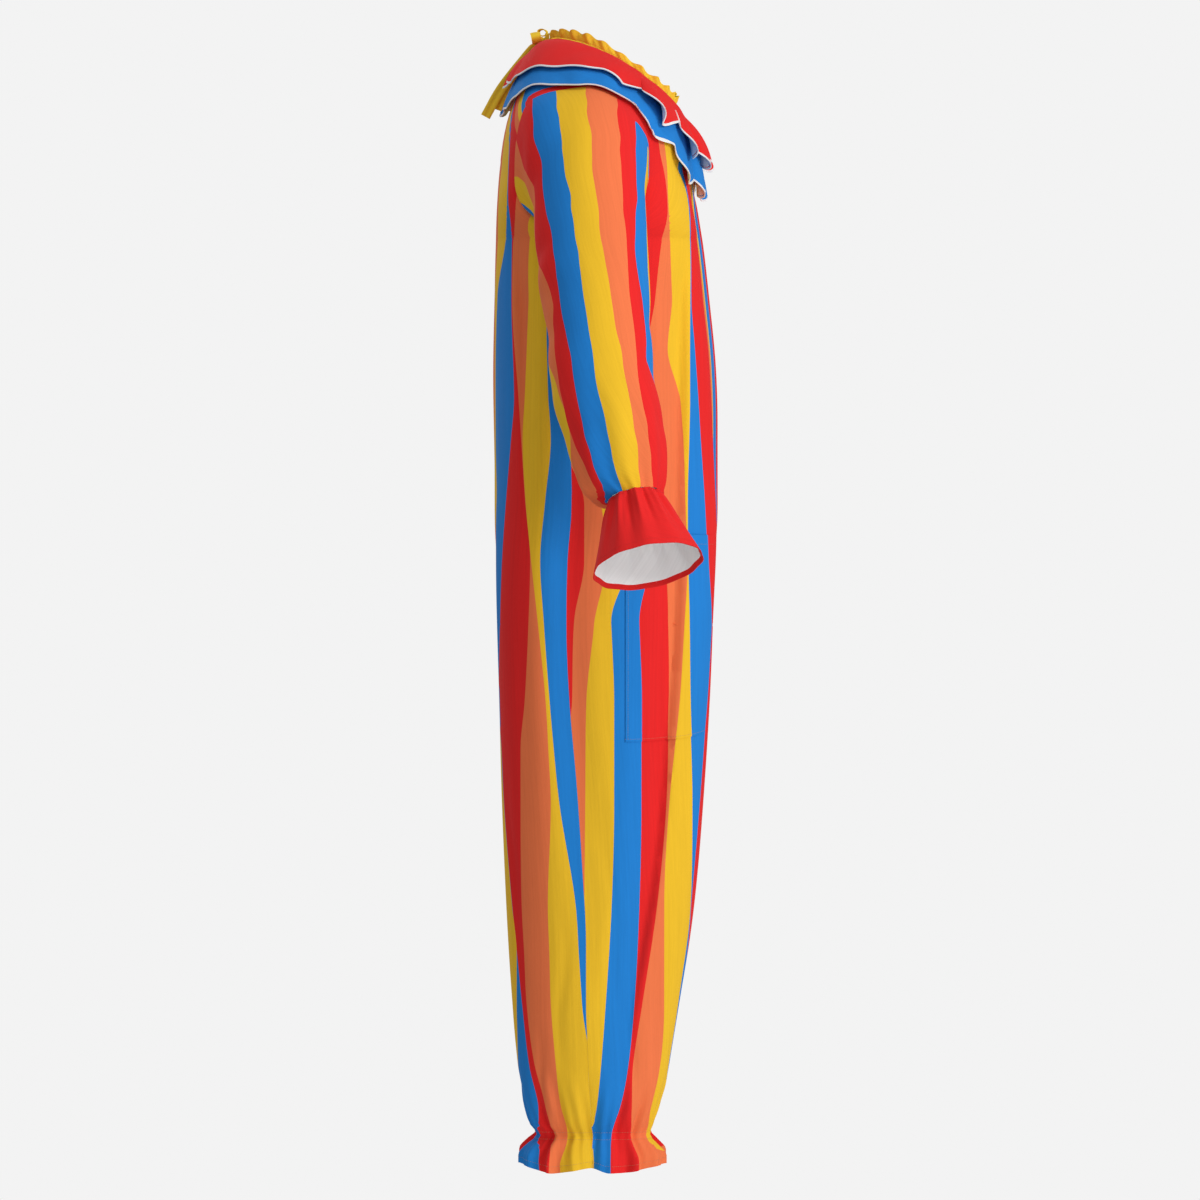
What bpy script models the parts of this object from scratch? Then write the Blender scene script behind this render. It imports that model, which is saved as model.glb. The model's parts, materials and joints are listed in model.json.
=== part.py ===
"""One-piece clown costume, worn open and hollow as on a standing figure.

Metres, +Z up. The front of the costume faces -Y and the wearer's right is at -X. The origin is
on the shoulder line, where the wearer carries the costume. Every piece of cloth is a closed wall
of even thickness, worked out from the tables below.
"""

import math

import bmesh
import bpy
import numpy as np
from mathutils import Vector
from mathutils.bvhtree import BVHTree

CLOTH = 0.0012  # thickness of a wall of cloth
EDGE_GAP = 0.00018  # each piece stays this far back from its seam
INNER_EDGE_GAP = 0.0005  # the same at the inner face, which bevels the edge
MIDDLE_GAP = 0.0002  # least distance of a piece from the middle plane
STACK_GAP = 0.0006  # between layers that lie on each other
LAYER = CLOTH + STACK_GAP

SHARP_ANGLE = math.radians(50)
SAME_POINT_DIGITS = 6  # points of two sheets that agree to this many digits are one seam point

RIGHT, LEFT = -1, 1

ARMPIT_HEIGHT = -0.202
LEG_MIDDLE = 0.110
CROTCH_TOP = -0.560  # where the crotch curve starts to turn inwards
CROTCH_HEIGHT = -0.700
FULLNESS = 0.58  # handle length of a quarter arc; 0.552 would be an ellipse
TORSO_FLAT = 0.22  # share of the half width over which the torso's front and back are flat
LEG_SHAPE_TOP = -0.440  # below it the flat share spreads to the middle of each leg
INNER_SHARE = 0.4  # share of the dense points on the inner part of a section

# Outline of body and leg. height, front and back from the side, side seam and inside leg seam
# in Y, outer half width and inner side of the leg in X
OUTLINE_COLUMNS = ("height", "front", "back", "side_seam", "leg_seam", "half_width", "leg_inner")
OUTLINE = [
    (-1.4080, -0.0815, 0.1010, 0.0100, 0.0100, 0.1650, 0.0400),
    (-1.3950, -0.0820, 0.1014, 0.0100, 0.0100, 0.1640, 0.0410),
    (-1.3740, -0.0730, 0.0936, 0.0100, 0.0100, 0.1570, 0.0460),
    (-1.3580, -0.0637, 0.0806, 0.0090, 0.0090, 0.1500, 0.0520),
    (-1.3450, -0.0676, 0.0897, 0.0110, 0.0100, 0.1580, 0.0470),
    (-1.3200, -0.0767, 0.0975, 0.0120, 0.0100, 0.1690, 0.0390),
    (-1.2940, -0.0845, 0.1027, 0.0140, 0.0100, 0.1760, 0.0340),
    (-1.2420, -0.0936, 0.1092, 0.0160, 0.0100, 0.1860, 0.0270),
    (-1.1900, -0.1027, 0.1131, 0.0180, 0.0100, 0.1940, 0.0220),
    (-1.1120, -0.1157, 0.1183, 0.0180, 0.0100, 0.2040, 0.0160),
    (-1.0080, -0.1274, 0.1235, 0.0230, 0.0100, 0.2140, 0.0120),
    (-0.9040, -0.1352, 0.1274, 0.0300, 0.0100, 0.2220, 0.0085),
    (-0.8000, -0.1417, 0.1300, 0.0390, 0.0110, 0.2280, 0.0050),
    (-0.7000, -0.1465, 0.1330, 0.0430, 0.0120, 0.2310, 0.0004),
    (-0.6175, -0.1508, 0.1352, 0.0415, 0.0120, 0.2310, 0.0004),
    (-0.5400, -0.1534, 0.1365, 0.0360, 0.0120, 0.2280, 0.0004),
    (-0.4400, -0.1534, 0.1365, 0.0390, 0.0120, 0.2230, 0.0004),
    (-0.3600, -0.1508, 0.1365, 0.0400, 0.0120, 0.2180, 0.0004),
    (-0.2800, -0.1430, 0.1365, 0.0390, 0.0120, 0.2110, 0.0004),
    (-0.2020, -0.1340, 0.1350, 0.0320, 0.0120, 0.2050, 0.0004),
    (-0.1500, -0.1255, 0.1330, 0.0320, 0.0120, 0.2050, 0.0004),
    (-0.1000, -0.1150, 0.1290, 0.0320, 0.0120, 0.2050, 0.0004),
    (-0.0600, -0.1040, 0.1225, 0.0320, 0.0120, 0.2050, 0.0004),
    (-0.0270, -0.0920, 0.1130, 0.0320, 0.0120, 0.2050, 0.0004),
    (0.0000, -0.0820, 0.1010, 0.0320, 0.0120, 0.2050, 0.0004),
    (0.0300, -0.0720, 0.0840, 0.0320, 0.0120, 0.2050, 0.0004),
    (0.0570, -0.0620, 0.0620, 0.0320, 0.0120, 0.2050, 0.0004),
]

# Yoke, from the shoulder seam (down = 0) to the armpit (down = 1): the point on the armhole, then
# the handles of the curve that runs to it from the neck or the middle seam
YOKE_COLUMNS = ("down", "x", "y", "z", "from_x", "from_y", "from_z", "to_x", "to_y", "to_z")
FRONT_NECK_SHARE = 0.45  # of the way down, the share whose rows start on the neckline
FRONT_YOKE = [
    (0.00, 0.192, 0.014, -0.008, 0.040, 0.006, -0.007, -0.037, -0.006, 0.016),
    (0.15, 0.190, -0.006, -0.013, 0.045, 0.002, -0.010, -0.037, -0.012, 0.014),
    (0.30, 0.186, -0.028, -0.026, 0.052, -0.004, -0.012, -0.035, -0.020, 0.009),
    (0.45, 0.181, -0.050, -0.048, 0.085, -0.006, -0.020, -0.028, -0.032, 0.004),
    (0.60, 0.177, -0.063, -0.080, 0.092, -0.002, -0.005, -0.024, -0.034, 0.000),
    (0.75, 0.178, -0.063, -0.118, 0.100, 0.000, 0.000, -0.018, -0.036, 0.000),
    (0.88, 0.187, -0.043, -0.163, 0.110, 0.000, 0.000, -0.008, -0.055, 0.000),
    (1.00, 0.205, 0.032, -0.202, 0.123, 0.000, 0.000, 0.000, -0.100, 0.000),
]
BACK_NECK_SHARE = 0.38
BACK_YOKE = [
    (0.00, 0.192, 0.014, -0.008, 0.040, 0.006, -0.007, -0.037, -0.006, 0.016),
    (0.12, 0.191, 0.034, -0.012, 0.046, 0.008, -0.008, -0.037, 0.003, 0.018),
    (0.25, 0.189, 0.058, -0.022, 0.052, 0.013, -0.010, -0.040, 0.005, 0.020),
    (0.38, 0.184, 0.082, -0.040, 0.068, 0.014, -0.008, -0.044, 0.010, 0.016),
    (0.55, 0.178, 0.102, -0.076, 0.085, 0.006, -0.004, -0.040, 0.016, 0.005),
    (0.75, 0.177, 0.110, -0.120, 0.095, 0.002, 0.000, -0.035, 0.016, 0.000),
    (0.90, 0.188, 0.094, -0.168, 0.110, 0.000, 0.000, -0.015, 0.038, 0.000),
    (1.00, 0.205, 0.032, -0.202, 0.123, 0.000, 0.000, 0.000, 0.062, 0.000),
]

# Neckline: a tilted oval, raised at its sides
NECK_HALF_WIDTH = 0.078
NECK_MIDDLE_Y, NECK_HALF_DEPTH = -0.015, 0.077
NECK_MIDDLE_Z, NECK_TILT, NECK_SIDE_RISE = 0.015, 0.042, 0.016

# Long folds that run down the body: where the fold's lip and the pocket's outer edge lie in Y on
# the front, where the back fold lies, and how deep the folds and the hollow at the side seam are
FOLD_COLUMNS = ("height", "front_lip", "front_depth", "pocket_edge", "back_lip", "back_depth",
                "side_hollow")
FOLDS = [
    (-1.3580, -0.0390, 0.0000, -0.0020, 0.0500, 0.000, 0.000),
    (-1.2480, -0.0430, 0.0020, -0.0060, 0.0700, 0.000, 0.000),
    (-1.1630, -0.0560, 0.0080, -0.0180, 0.0790, 0.000, 0.001),
    (-1.0075, -0.0820, 0.0110, -0.0280, 0.0880, 0.000, 0.004),
    (-0.8500, -0.0980, 0.0120, -0.0325, 0.0950, 0.000, 0.007),
    (-0.7000, -0.1090, 0.0120, -0.0325, 0.1000, 0.000, 0.008),
    (-0.5400, -0.1120, 0.0110, -0.0325, 0.1030, 0.002, 0.007),
    (-0.4200, -0.1140, 0.0100, -0.0330, 0.1060, 0.006, 0.004),
    (-0.3000, -0.1155, 0.0080, -0.0340, 0.1105, 0.009, 0.001),
    (-0.2020, -0.1150, 0.0060, -0.0360, 0.1120, 0.006, 0.000),
]
FOLD_DROP = 0.010  # from the lip to the bottom of the fold, along the cloth
FOLD_RISE = 0.060  # from its bottom back to the panel
FOLD_START = 0.090  # below the armpit, the height over which the folds set in
HOLLOW_REACH = 0.030
LEFT_FOLD_SHARE = 0.8  # the folds of the side that is turned away are shallower
POCKET_INNER = 0.060  # from the pocket's inner edge to the lip of the fold, along the cloth
# columns at the middle, pocket's inner edge, lip, bottom of the fold, pocket's outer edge, seam
FRONT_ANCHORS = (0, 2, 4, 5, 7, 10)
BACK_ANCHORS = (0, 3, 4, 10)  # columns at the middle, lip, bottom of the fold, seam

# Gathers that the ankle elastic makes around each leg
ANKLE_GATHERS = 10
ANKLE_COLUMNS = ("height", "wave")
ANKLE_WAVES = [(-1.408, 0.0062), (-1.395, 0.0056), (-1.374, 0.0040), (-1.358, 0.0026),
               (-1.345, 0.0030), (-1.325, 0.0020), (-1.290, 0.0000)]
EVEN_COLUMNS_BELOW, ANCHORED_ABOVE = -1.325, -1.240

FRONT_YOKE_ROWS = (0.0, 0.15, 0.30, 0.45, 0.58, 0.70, 0.82, 0.92)
BACK_YOKE_ROWS = (0.0, 0.13, 0.26, 0.38, 0.44, 0.53, 0.66, 0.79, 0.91)
BODY_HEIGHTS = (-0.202, -0.252, -0.310, -0.375, -0.440, -0.510, -0.584, -0.630, -0.664, -0.688,
                -0.700, -0.732, -0.786, -0.850, -0.920, -0.995, -1.070, -1.145, -1.210, -1.262,
                -1.302)
ANKLE_HEIGHTS = (-1.325, -1.345, -1.358, -1.374, -1.395, -1.408)

# Sleeve: the upper and lower line from the front, and middle and half depth from the side
SLEEVE_COLUMNS = ("top_x", "top_z", "low_x", "low_z", "middle_y", "half_depth")
SLEEVE = [
    (0.192, -0.008, 0.205, -0.202, 0.022, 0.086),
    (0.220, -0.020, 0.210, -0.209, 0.020, 0.083),
    (0.247, -0.043, 0.216, -0.222, 0.018, 0.079),
    (0.273, -0.078, 0.221, -0.243, 0.014, 0.072),
    (0.298, -0.122, 0.225, -0.268, 0.012, 0.072),
    (0.321, -0.168, 0.231, -0.296, 0.0095, 0.0715),
    (0.343, -0.216, 0.243, -0.330, 0.007, 0.071),
    (0.363, -0.266, 0.260, -0.368, 0.002, 0.067),
    (0.381, -0.318, 0.279, -0.407, -0.001, 0.067),
    (0.398, -0.370, 0.299, -0.448, -0.0065, 0.0675),
    (0.412, -0.421, 0.319, -0.490, -0.018, 0.064),
    (0.422, -0.466, 0.337, -0.525, -0.026, 0.058),
    (0.424, -0.502, 0.350, -0.548, -0.032, 0.051),
    (0.421, -0.526, 0.357, -0.553, -0.044, 0.035),
]
SLEEVE_BLEND = 4  # stations over which the armhole's shape turns into a plain oval
LEVEL_STATIONS = 8  # past this station the rings turn square to the cuff
SLEEVE_WAVES = 8
WRIST_WAVES = (0.0012, 0.0022, 0.0018, 0.0012)  # on the last stations, from above

# Cuff: a flared flounce sewn to the sleeve
CUFF_AXIS = (0.385, -0.180, -0.905)
CUFF_LENGTH = 0.095
CUFF_TOP_RADIUS, CUFF_EDGE_RADIUS = 0.0345, 0.0710
CUFF_WAVES = 10
CUFF_COLUMNS = 40
CUFF_ROWS = ((0.0, 0.0008), (0.22, 0.0026), (0.6, 0.0030), (1.0, 0.0024))  # along, wave

# Collar: where the edges of the two flounces lie, by the angle from the front around the neck
COLLAR_COLUMNS = ("angle", "red_x", "red_y", "red_z", "blue_x", "blue_y", "blue_z", "wave")
COLLAR = [
    (0, 0.000, -0.140, -0.100, 0.000, -0.133, -0.137, 0.012),
    (25, 0.062, -0.130, -0.098, 0.072, -0.126, -0.134, 0.012),
    (45, 0.112, -0.102, -0.078, 0.128, -0.096, -0.112, 0.011),
    (65, 0.150, -0.055, -0.034, 0.176, -0.048, -0.052, 0.006),
    (90, 0.172, 0.000, 0.006, 0.203, 0.004, -0.012, 0.002),
    (115, 0.160, 0.052, 0.012, 0.190, 0.055, -0.009, 0.002),
    (145, 0.105, 0.104, 0.003, 0.125, 0.110, -0.027, 0.003),
    (180, 0.000, 0.128, -0.004, 0.000, 0.131, -0.043, 0.006),
]
COLLAR_WAVES = 16
COLLAR_POINTS = 65
COLLAR_OPENING = math.radians(7)  # half the slit at the back of the collar
COLLAR_CROWN = 0.012  # how far the flounce arches over its straight chord
SEAM_ROOM = {"blue": 0.0010, "red": 0.0004}  # extra room at the seam, over the layer below
LOOSENESS = 0.0045  # extra room under a flounce, away from its seam
LOOSE_FROM = 0.3  # share of the flounce's width by which it has that room
WAVE_GROWTH = 1.5  # power with which the waves grow towards the edge
UPPER_LEAN = 0.3  # weight of outwards against upwards in choosing a flounce's upper side
COLLAR_CORE = (0.0, 0.0, -0.060)  # a point inside the garment, below the collar
TRIM_WIDTH = 0.003
FLOUNCE_ROWS = (0.0, 0.2, 0.45, 0.72, 1.0)

# Standing ruffle at the neck, lower towards the slit at the back
RUFFLE_HEIGHT = 0.019
RUFFLE_FALL, RUFFLE_FALL_FROM = 0.55, math.radians(150)
RUFFLE_WAVES = 18
RUFFLE_POINTS = 73
RUFFLE_WAVE = 0.0032
RUFFLE_LEAN = 0.004
RUFFLE_SEAT = 0.0009  # from the flounce below to the foot of the ruffle
RUFFLE_ROWS = (0.0, 0.5, 1.0)

# Ribbon tie at the back of the neck: the neck seam's two ends run on as ribbon to a knot, from
# which two loops stand and two tails hang in the slit. Tail paths are given in Y and Z
RIBBON_WIDTH = 0.013
SEAM_RIBBON_WIDTH = 0.008
SEAM_RIBBON_DROP = 0.001  # of its end below the middle of the knot
KNOT = (0.0, 0.0765, 0.0595)
KNOT_RADIUS = 0.0050
KNOT_GAP = 0.0004
SEAM_RIBBON_SHARES = (0.03, 0.35, 0.7, 1.0)  # rows from the ruffle's end to the knot
LOOPS = {  # direction away from the knot and across it, half length and height, width, shift in Y
    "tie_loop_right": ((-1.0, 0.0, 0.10), (0.10, 0.20, 1.0), 0.0145, 0.0076, 0.0130, 0.0065),
    "tie_loop_left": ((0.0, -0.20, 0.98), (0.0, 0.98, 0.20), 0.0085, 0.0048, 0.0085, 0.0),
}
LOOP_POINTS = 14
TAILS = {  # sideways place, and the points of the path below the knot
    "tie_tail_right": (-0.0030, ((0.091, 0.044), (0.100, 0.033), (0.113, 0.017), (0.126, 0.000),
                                 (0.135, -0.014), (0.143, -0.029), (0.149, -0.040))),
    "tie_tail_left": (0.0030, ((0.091, 0.043), (0.099, 0.031), (0.111, 0.013), (0.121, -0.004),
                               (0.128, -0.018), (0.133, -0.031))),
}
TAIL_LEAVES = (0.72, -0.69)  # direction in Y and Z in which the tails leave the knot
TAIL_GATHER = 0.35  # share of its width that a tail has at the knot

POCKET_ROWS = (6, 13)  # rows of BODY_HEIGHTS between which the pocket lies
POCKET_COLUMNS = (2, 7)


def named(columns, rows):
    """The rows of a table as one array for each named column."""
    return dict(zip(columns, np.array(rows, dtype=float).T))


def smooth(keys, values, at):
    """Monotone cubic curve through values at rising keys, read at one or more places."""
    keys, values, at = (np.asarray(part, dtype=float) for part in (keys, values, at))
    step = np.diff(keys)
    rise = np.diff(values) / step
    slope = np.concatenate(([rise[0]], (rise[:-1] + rise[1:]) / 2, [rise[-1]]))
    for i in range(1, len(keys) - 1):
        if rise[i - 1] * rise[i] <= 0:
            slope[i] = 0.0
        else:
            low, high = sorted((abs(rise[i - 1]), abs(rise[i])))
            slope[i] = math.copysign(min(abs(slope[i]), 3 * low, 3 * high), rise[i])
    place = np.clip(np.searchsorted(keys, at, side="right") - 1, 0, len(step) - 1)
    u = np.clip((at - keys[place]) / step[place], 0.0, 1.0)
    start, end = values[place], values[place + 1]
    return (start * (1 + 2 * u) * (1 - u) ** 2 + end * u * u * (3 - 2 * u)
            + step[place] * (slope[place] * u * (1 - u) ** 2 - slope[place + 1] * u * u * (1 - u)))


def ease(amount):
    """0 to 1 with level ends."""
    amount = np.clip(amount, 0.0, 1.0)
    return amount * amount * (3 - 2 * amount)


def bezier(points, at):
    """Points of a cubic curve at the given shares."""
    a, b, c, d = (np.asarray(p, dtype=float) for p in points)
    at = np.asarray(at)[:, None]
    return (a * (1 - at) ** 3 + b * 3 * at * (1 - at) ** 2
            + c * 3 * at * at * (1 - at) + d * at ** 3)


OUTLINE_AT = named(OUTLINE_COLUMNS, OUTLINE)
FOLDS_AT = named(FOLD_COLUMNS, FOLDS)
ANKLE_AT = named(ANKLE_COLUMNS, ANKLE_WAVES)
SLEEVE_AT = named(SLEEVE_COLUMNS, SLEEVE)
COLLAR_AT = named(COLLAR_COLUMNS, COLLAR)
YOKE_AT = {"front": named(YOKE_COLUMNS, FRONT_YOKE), "back": named(YOKE_COLUMNS, BACK_YOKE)}
NECK_SHARE = {"front": FRONT_NECK_SHARE, "back": BACK_NECK_SHARE}
DENSE = np.linspace(0.0, 1.0, 161)  # shares at which a section is worked out first


def outline(column, height):
    return float(smooth(OUTLINE_AT["height"], OUTLINE_AT[column], height))


def fold(column, height):
    return float(smooth(FOLDS_AT["height"], FOLDS_AT[column], height))


def neckline(angle):
    """Point on the neckline; angle 0 is the front and pi the back."""
    return np.array((
        NECK_HALF_WIDTH * math.sin(angle),
        NECK_MIDDLE_Y - NECK_HALF_DEPTH * math.cos(angle),
        NECK_MIDDLE_Z - NECK_TILT * math.cos(angle) + NECK_SIDE_RISE * math.sin(angle) ** 2,
    ))


def yoke_section(part, down):
    """Curve from the neckline or middle seam to the armhole, wearer's left side."""
    table = YOKE_AT[part]
    value = {name: float(smooth(table["down"], table[name], down)) for name in YOKE_COLUMNS}
    share = NECK_SHARE[part]
    if down <= share:
        turn = math.pi / 2 * (1 - down / share)
        start = neckline(turn if part == "front" else math.pi - turn)
    else:
        neck = neckline(0.0 if part == "front" else math.pi)
        height = neck[2] + (ARMPIT_HEIGHT - neck[2]) * (down - share) / (1 - share)
        start = np.array((0.0, outline(part, height), height))
    end = np.array((value["x"], value["y"], value["z"]))
    near = start + (value["from_x"], value["from_y"], value["from_z"])
    far = end + (value["to_x"], value["to_y"], value["to_z"])
    return bezier((start, near, far, end), DENSE)


def body_section(part, height):
    """Level curve from the middle or inside leg seam to the side seam, wearer's left side."""
    edge, seam = outline(part, height), outline("side_seam", height)
    wide = outline("half_width", height)
    passed = np.clip((CROTCH_TOP - height) / (CROTCH_TOP - CROTCH_HEIGHT), 0.0, 1.0)
    leg_share = 1 - math.sqrt(1 - passed * passed)
    inner = outline("leg_inner", height) * leg_share
    start = edge + (outline("leg_seam", height) - edge) * leg_share
    flat = TORSO_FLAT * wide
    spread = ease((LEG_SHAPE_TOP - height) / (LEG_SHAPE_TOP - CROTCH_HEIGHT))
    foremost = flat + ((wide + outline("leg_inner", height)) / 2 - flat) * spread
    width = foremost - inner
    inside = bezier((
        (inner, start, height),
        (inner + (1 - leg_share) * width / 2, start + leg_share * FULLNESS * (edge - start), height),
        (foremost - FULLNESS * width, edge, height), (foremost, edge, height)),
        DENSE / INNER_SHARE)
    outside = bezier((
        (foremost, edge, height), (foremost + FULLNESS * (wide - foremost), edge, height),
        (wide, seam + FULLNESS * (edge - seam), height), (wide, seam, height)),
        (DENSE - INNER_SHARE) / (1 - INNER_SHARE))
    return np.where((DENSE < INNER_SHARE)[:, None], inside, outside)


def lengths(points):
    """Distance along a row of points from its first one."""
    return np.concatenate(([0.0], np.cumsum(np.linalg.norm(np.diff(points, axis=0), axis=1))))


def outward(points, part):
    """Level directions that point out of the garment along a section."""
    along = np.gradient(points, axis=0)
    side = np.cross(along, (0.0, 0.0, 1.0)) * (1 if part == "front" else -1)
    return side / np.linalg.norm(side, axis=1)[:, None]


def folded(part, section, height, wearer_side):
    """A section with its long folds, and the distances at which its columns are anchored."""
    run = lengths(section)
    total = run[-1]
    reach = np.argmax(np.abs(section[:, 1] - section[-1, 1]))  # the foremost or rearmost point
    depth_share = 1.0 if wearer_side == RIGHT else LEFT_FOLD_SHARE
    level = min(height, ARMPIT_HEIGHT)
    fade = ease((ARMPIT_HEIGHT - height) / FOLD_START)

    def distance_at(y):
        across, way = section[reach:, 1], run[reach:]
        if part == "back":
            across, y = -across, -y
        return float(np.interp(y, across, way))

    lip = distance_at(fold(part + "_lip", level))
    if part == "front":
        pocket = distance_at(fold("pocket_edge", level))
        anchors = [0.0, lip - POCKET_INNER, lip, lip + FOLD_DROP, pocket, total]
    else:
        anchors = [0.0, lip, lip + FOLD_DROP, total]
    past = run - lip
    groove = ease(past / FOLD_DROP) * (1 - ease((past - FOLD_DROP) / FOLD_RISE))
    inward = fold(part + "_depth", level) * fade * groove * depth_share
    hollow = np.exp(-((total - run) / HOLLOW_REACH) ** 2)
    inward = inward + fold("side_hollow", level) * hollow * depth_share
    return section - outward(section, part) * inward[:, None], anchors


def columns_at(anchors, columns, total, even, steps):
    """Distances of the columns: spread between the anchors, and evenly as even goes to 1."""
    index = np.linspace(0, columns[-1], columns[-1] * steps + 1)
    placed = np.interp(index, columns, anchors)
    return placed * (1 - even) + total * index / columns[-1] * even


def panel_row(part, wearer_side, down=None, height=None, steps=1):
    """One row of points of a front or back panel, from its middle edge to its outer edge."""
    level = ARMPIT_HEIGHT if height is None else height
    section, anchors = folded(part, body_section(part, level), level, wearer_side)
    if down is not None:
        section = yoke_section(part, down)
    even = float(ease((ANCHORED_ABOVE - level) / (ANCHORED_ABOVE - EVEN_COLUMNS_BELOW)))
    run = lengths(section)
    anchors = [anchor * run[-1] / anchors[-1] for anchor in anchors]
    columns = FRONT_ANCHORS if part == "front" else BACK_ANCHORS
    places = columns_at(anchors, columns, run[-1], even, steps)
    row = np.stack([np.interp(places, run, section[:, axis]) for axis in range(3)], axis=1)
    if level < ANKLE_WAVES[-1][0]:
        around = places / run[-1] / 2
        wave = float(smooth(ANKLE_AT["height"], ANKLE_AT["wave"], level))
        gather = wave * np.cos(2 * math.pi * ANKLE_GATHERS * around)
        row = row + outward(row, part) * gather[:, None]
    return row


def on_side(rows, wearer_side):
    """Rows worked out for the wearer's left, put on the side asked for."""
    return [row * (wearer_side, 1, 1) for row in rows]


def panel_rows(part, wearer_side):
    """All rows of a front or back panel, from the shoulder seam down to the hem."""
    yoke = FRONT_YOKE_ROWS if part == "front" else BACK_YOKE_ROWS
    rows = [panel_row(part, wearer_side, down=down) for down in yoke]
    rows += [panel_row(part, wearer_side, height=height) for height in BODY_HEIGHTS]
    rows += [panel_row(part, wearer_side, height=height, steps=2) for height in ANKLE_HEIGHTS]
    return on_side(rows, wearer_side)


def strip(first, second, closed):
    """Triangles between two rows of vertex numbers; the second may have twice the spaces."""
    count = len(first) if closed else len(first) - 1
    double = len(second) > len(first)
    corners = []
    for i in range(count):
        a, b = first[i], first[(i + 1) % len(first)]
        if double:
            c, m, d = (second[(2 * i + k) % len(second)] for k in range(3))
            corners += [(a, c, m), (a, m, b), (b, m, d)]
        else:
            c, d = second[i], second[(i + 1) % len(second)]
            corners += [(a, c, d), (a, d, b)]
    return corners


def layer_triangles(counts, closed):
    """Vertex numbers of each row, and the triangles between the rows."""
    starts = np.concatenate(([0], np.cumsum(counts)))
    numbers = [list(range(starts[i], starts[i + 1])) for i in range(len(counts))]
    corners = []
    for first, second in zip(numbers, numbers[1:]):
        corners += strip(first, second, closed)
    return numbers, corners


def sheet_normals(rows, closed):
    """Outward direction at each point of a sheet, from the triangles around it."""
    points = np.concatenate(rows)
    corners = np.array(layer_triangles([len(row) for row in rows], closed)[1])
    a, b, c = (points[corners[:, k]] for k in range(3))
    face = np.cross(b - a, c - a)
    total = np.zeros_like(points)
    for k in range(3):
        np.add.at(total, corners[:, k], face)
    return total


def facing(rows, closed, core=None):
    """+1 where the order of the rows gives normals that point out of the garment, else -1."""
    normals = sheet_normals(rows, closed)
    if core is not None:
        cores = np.array(core)
    elif closed:
        cores = np.concatenate([np.tile(row.mean(axis=0), (len(row), 1)) for row in rows])
    else:
        cores = np.concatenate([row * (0, 0, 1) for row in rows])
        cores[:, 0] = math.copysign(LEG_MIDDLE, rows[-1][:, 0].sum())
    away = np.einsum("ij,ij->i", normals, np.concatenate(rows) - cores)
    return 1 if away.sum() > 0 else -1


def split(points, rows):
    """One long array cut back into rows."""
    return np.split(points, np.cumsum([len(row) for row in rows])[:-1])


def seam_key(point):
    """The same tuple for points of two sheets that meet; adding 0 turns -0 into 0."""
    return tuple(np.round(point, SAME_POINT_DIGITS) + 0.0)


def seam_normals(sheets, closed=False, core=None):
    """Unit normals of several sheets, shared where the sheets meet at a seam."""
    raw = {name: sheet_normals(rows, closed) * facing(rows, closed, core)
           for name, rows in sheets.items()}
    shared = {}
    for name, rows in sheets.items():
        for point, normal in zip(np.concatenate(rows), raw[name]):
            shared[seam_key(point)] = shared.get(seam_key(point), 0.0) + normal
    result = {}
    for name, rows in sheets.items():
        found = np.array([shared[seam_key(point)] for point in np.concatenate(rows)])
        result[name] = split(found / np.linalg.norm(found, axis=1)[:, None], rows)
    return result


def pulled_back(rows, gap, closed):
    """Rows whose outer edges keep clear of the seams around them."""
    def towards(point, other):
        way = other - point
        return point + way / np.linalg.norm(way, axis=-1)[..., None] * gap

    rows = [row.copy() for row in rows]
    if not closed:
        for row in rows:
            row[0], row[-1] = towards(row[0], row[1]), towards(row[-1], row[-2])
    first = rows[1][::2] if len(rows[1]) > len(rows[0]) else rows[1]
    last = rows[-2] if len(rows[-2]) == len(rows[-1]) else rows[-1]
    rows[0], rows[-1] = towards(rows[0], first), towards(rows[-1], last)
    return rows


def material(name, colour):
    """Plain cloth of one colour."""
    made = bpy.data.materials.new(name)
    made.use_nodes = True
    shader = made.node_tree.nodes["Principled BSDF"]
    shader.inputs["Base Color"].default_value = (*colour, 1.0)
    shader.inputs["Roughness"].default_value = 0.85
    shader.inputs["Metallic"].default_value = 0.0
    return made


def make_object(name, points, corners, cloth):
    mesh = bpy.data.meshes.new(name)
    mesh.from_pydata([tuple(p) for p in points], [], corners)
    mesh.update()
    mesh.materials.append(cloth)
    made = bpy.data.objects.new(name, mesh)
    bpy.context.scene.collection.objects.link(made)
    mesh.shade_smooth()
    mesh.set_sharp_from_angle(angle=SHARP_ANGLE)
    return made


def volume(points, corners):
    a, b, c = (points[np.array(corners)[:, k]] for k in range(3))
    return float(np.einsum("ij,ij->i", a, np.cross(b, c)).sum() / 6)


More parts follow.
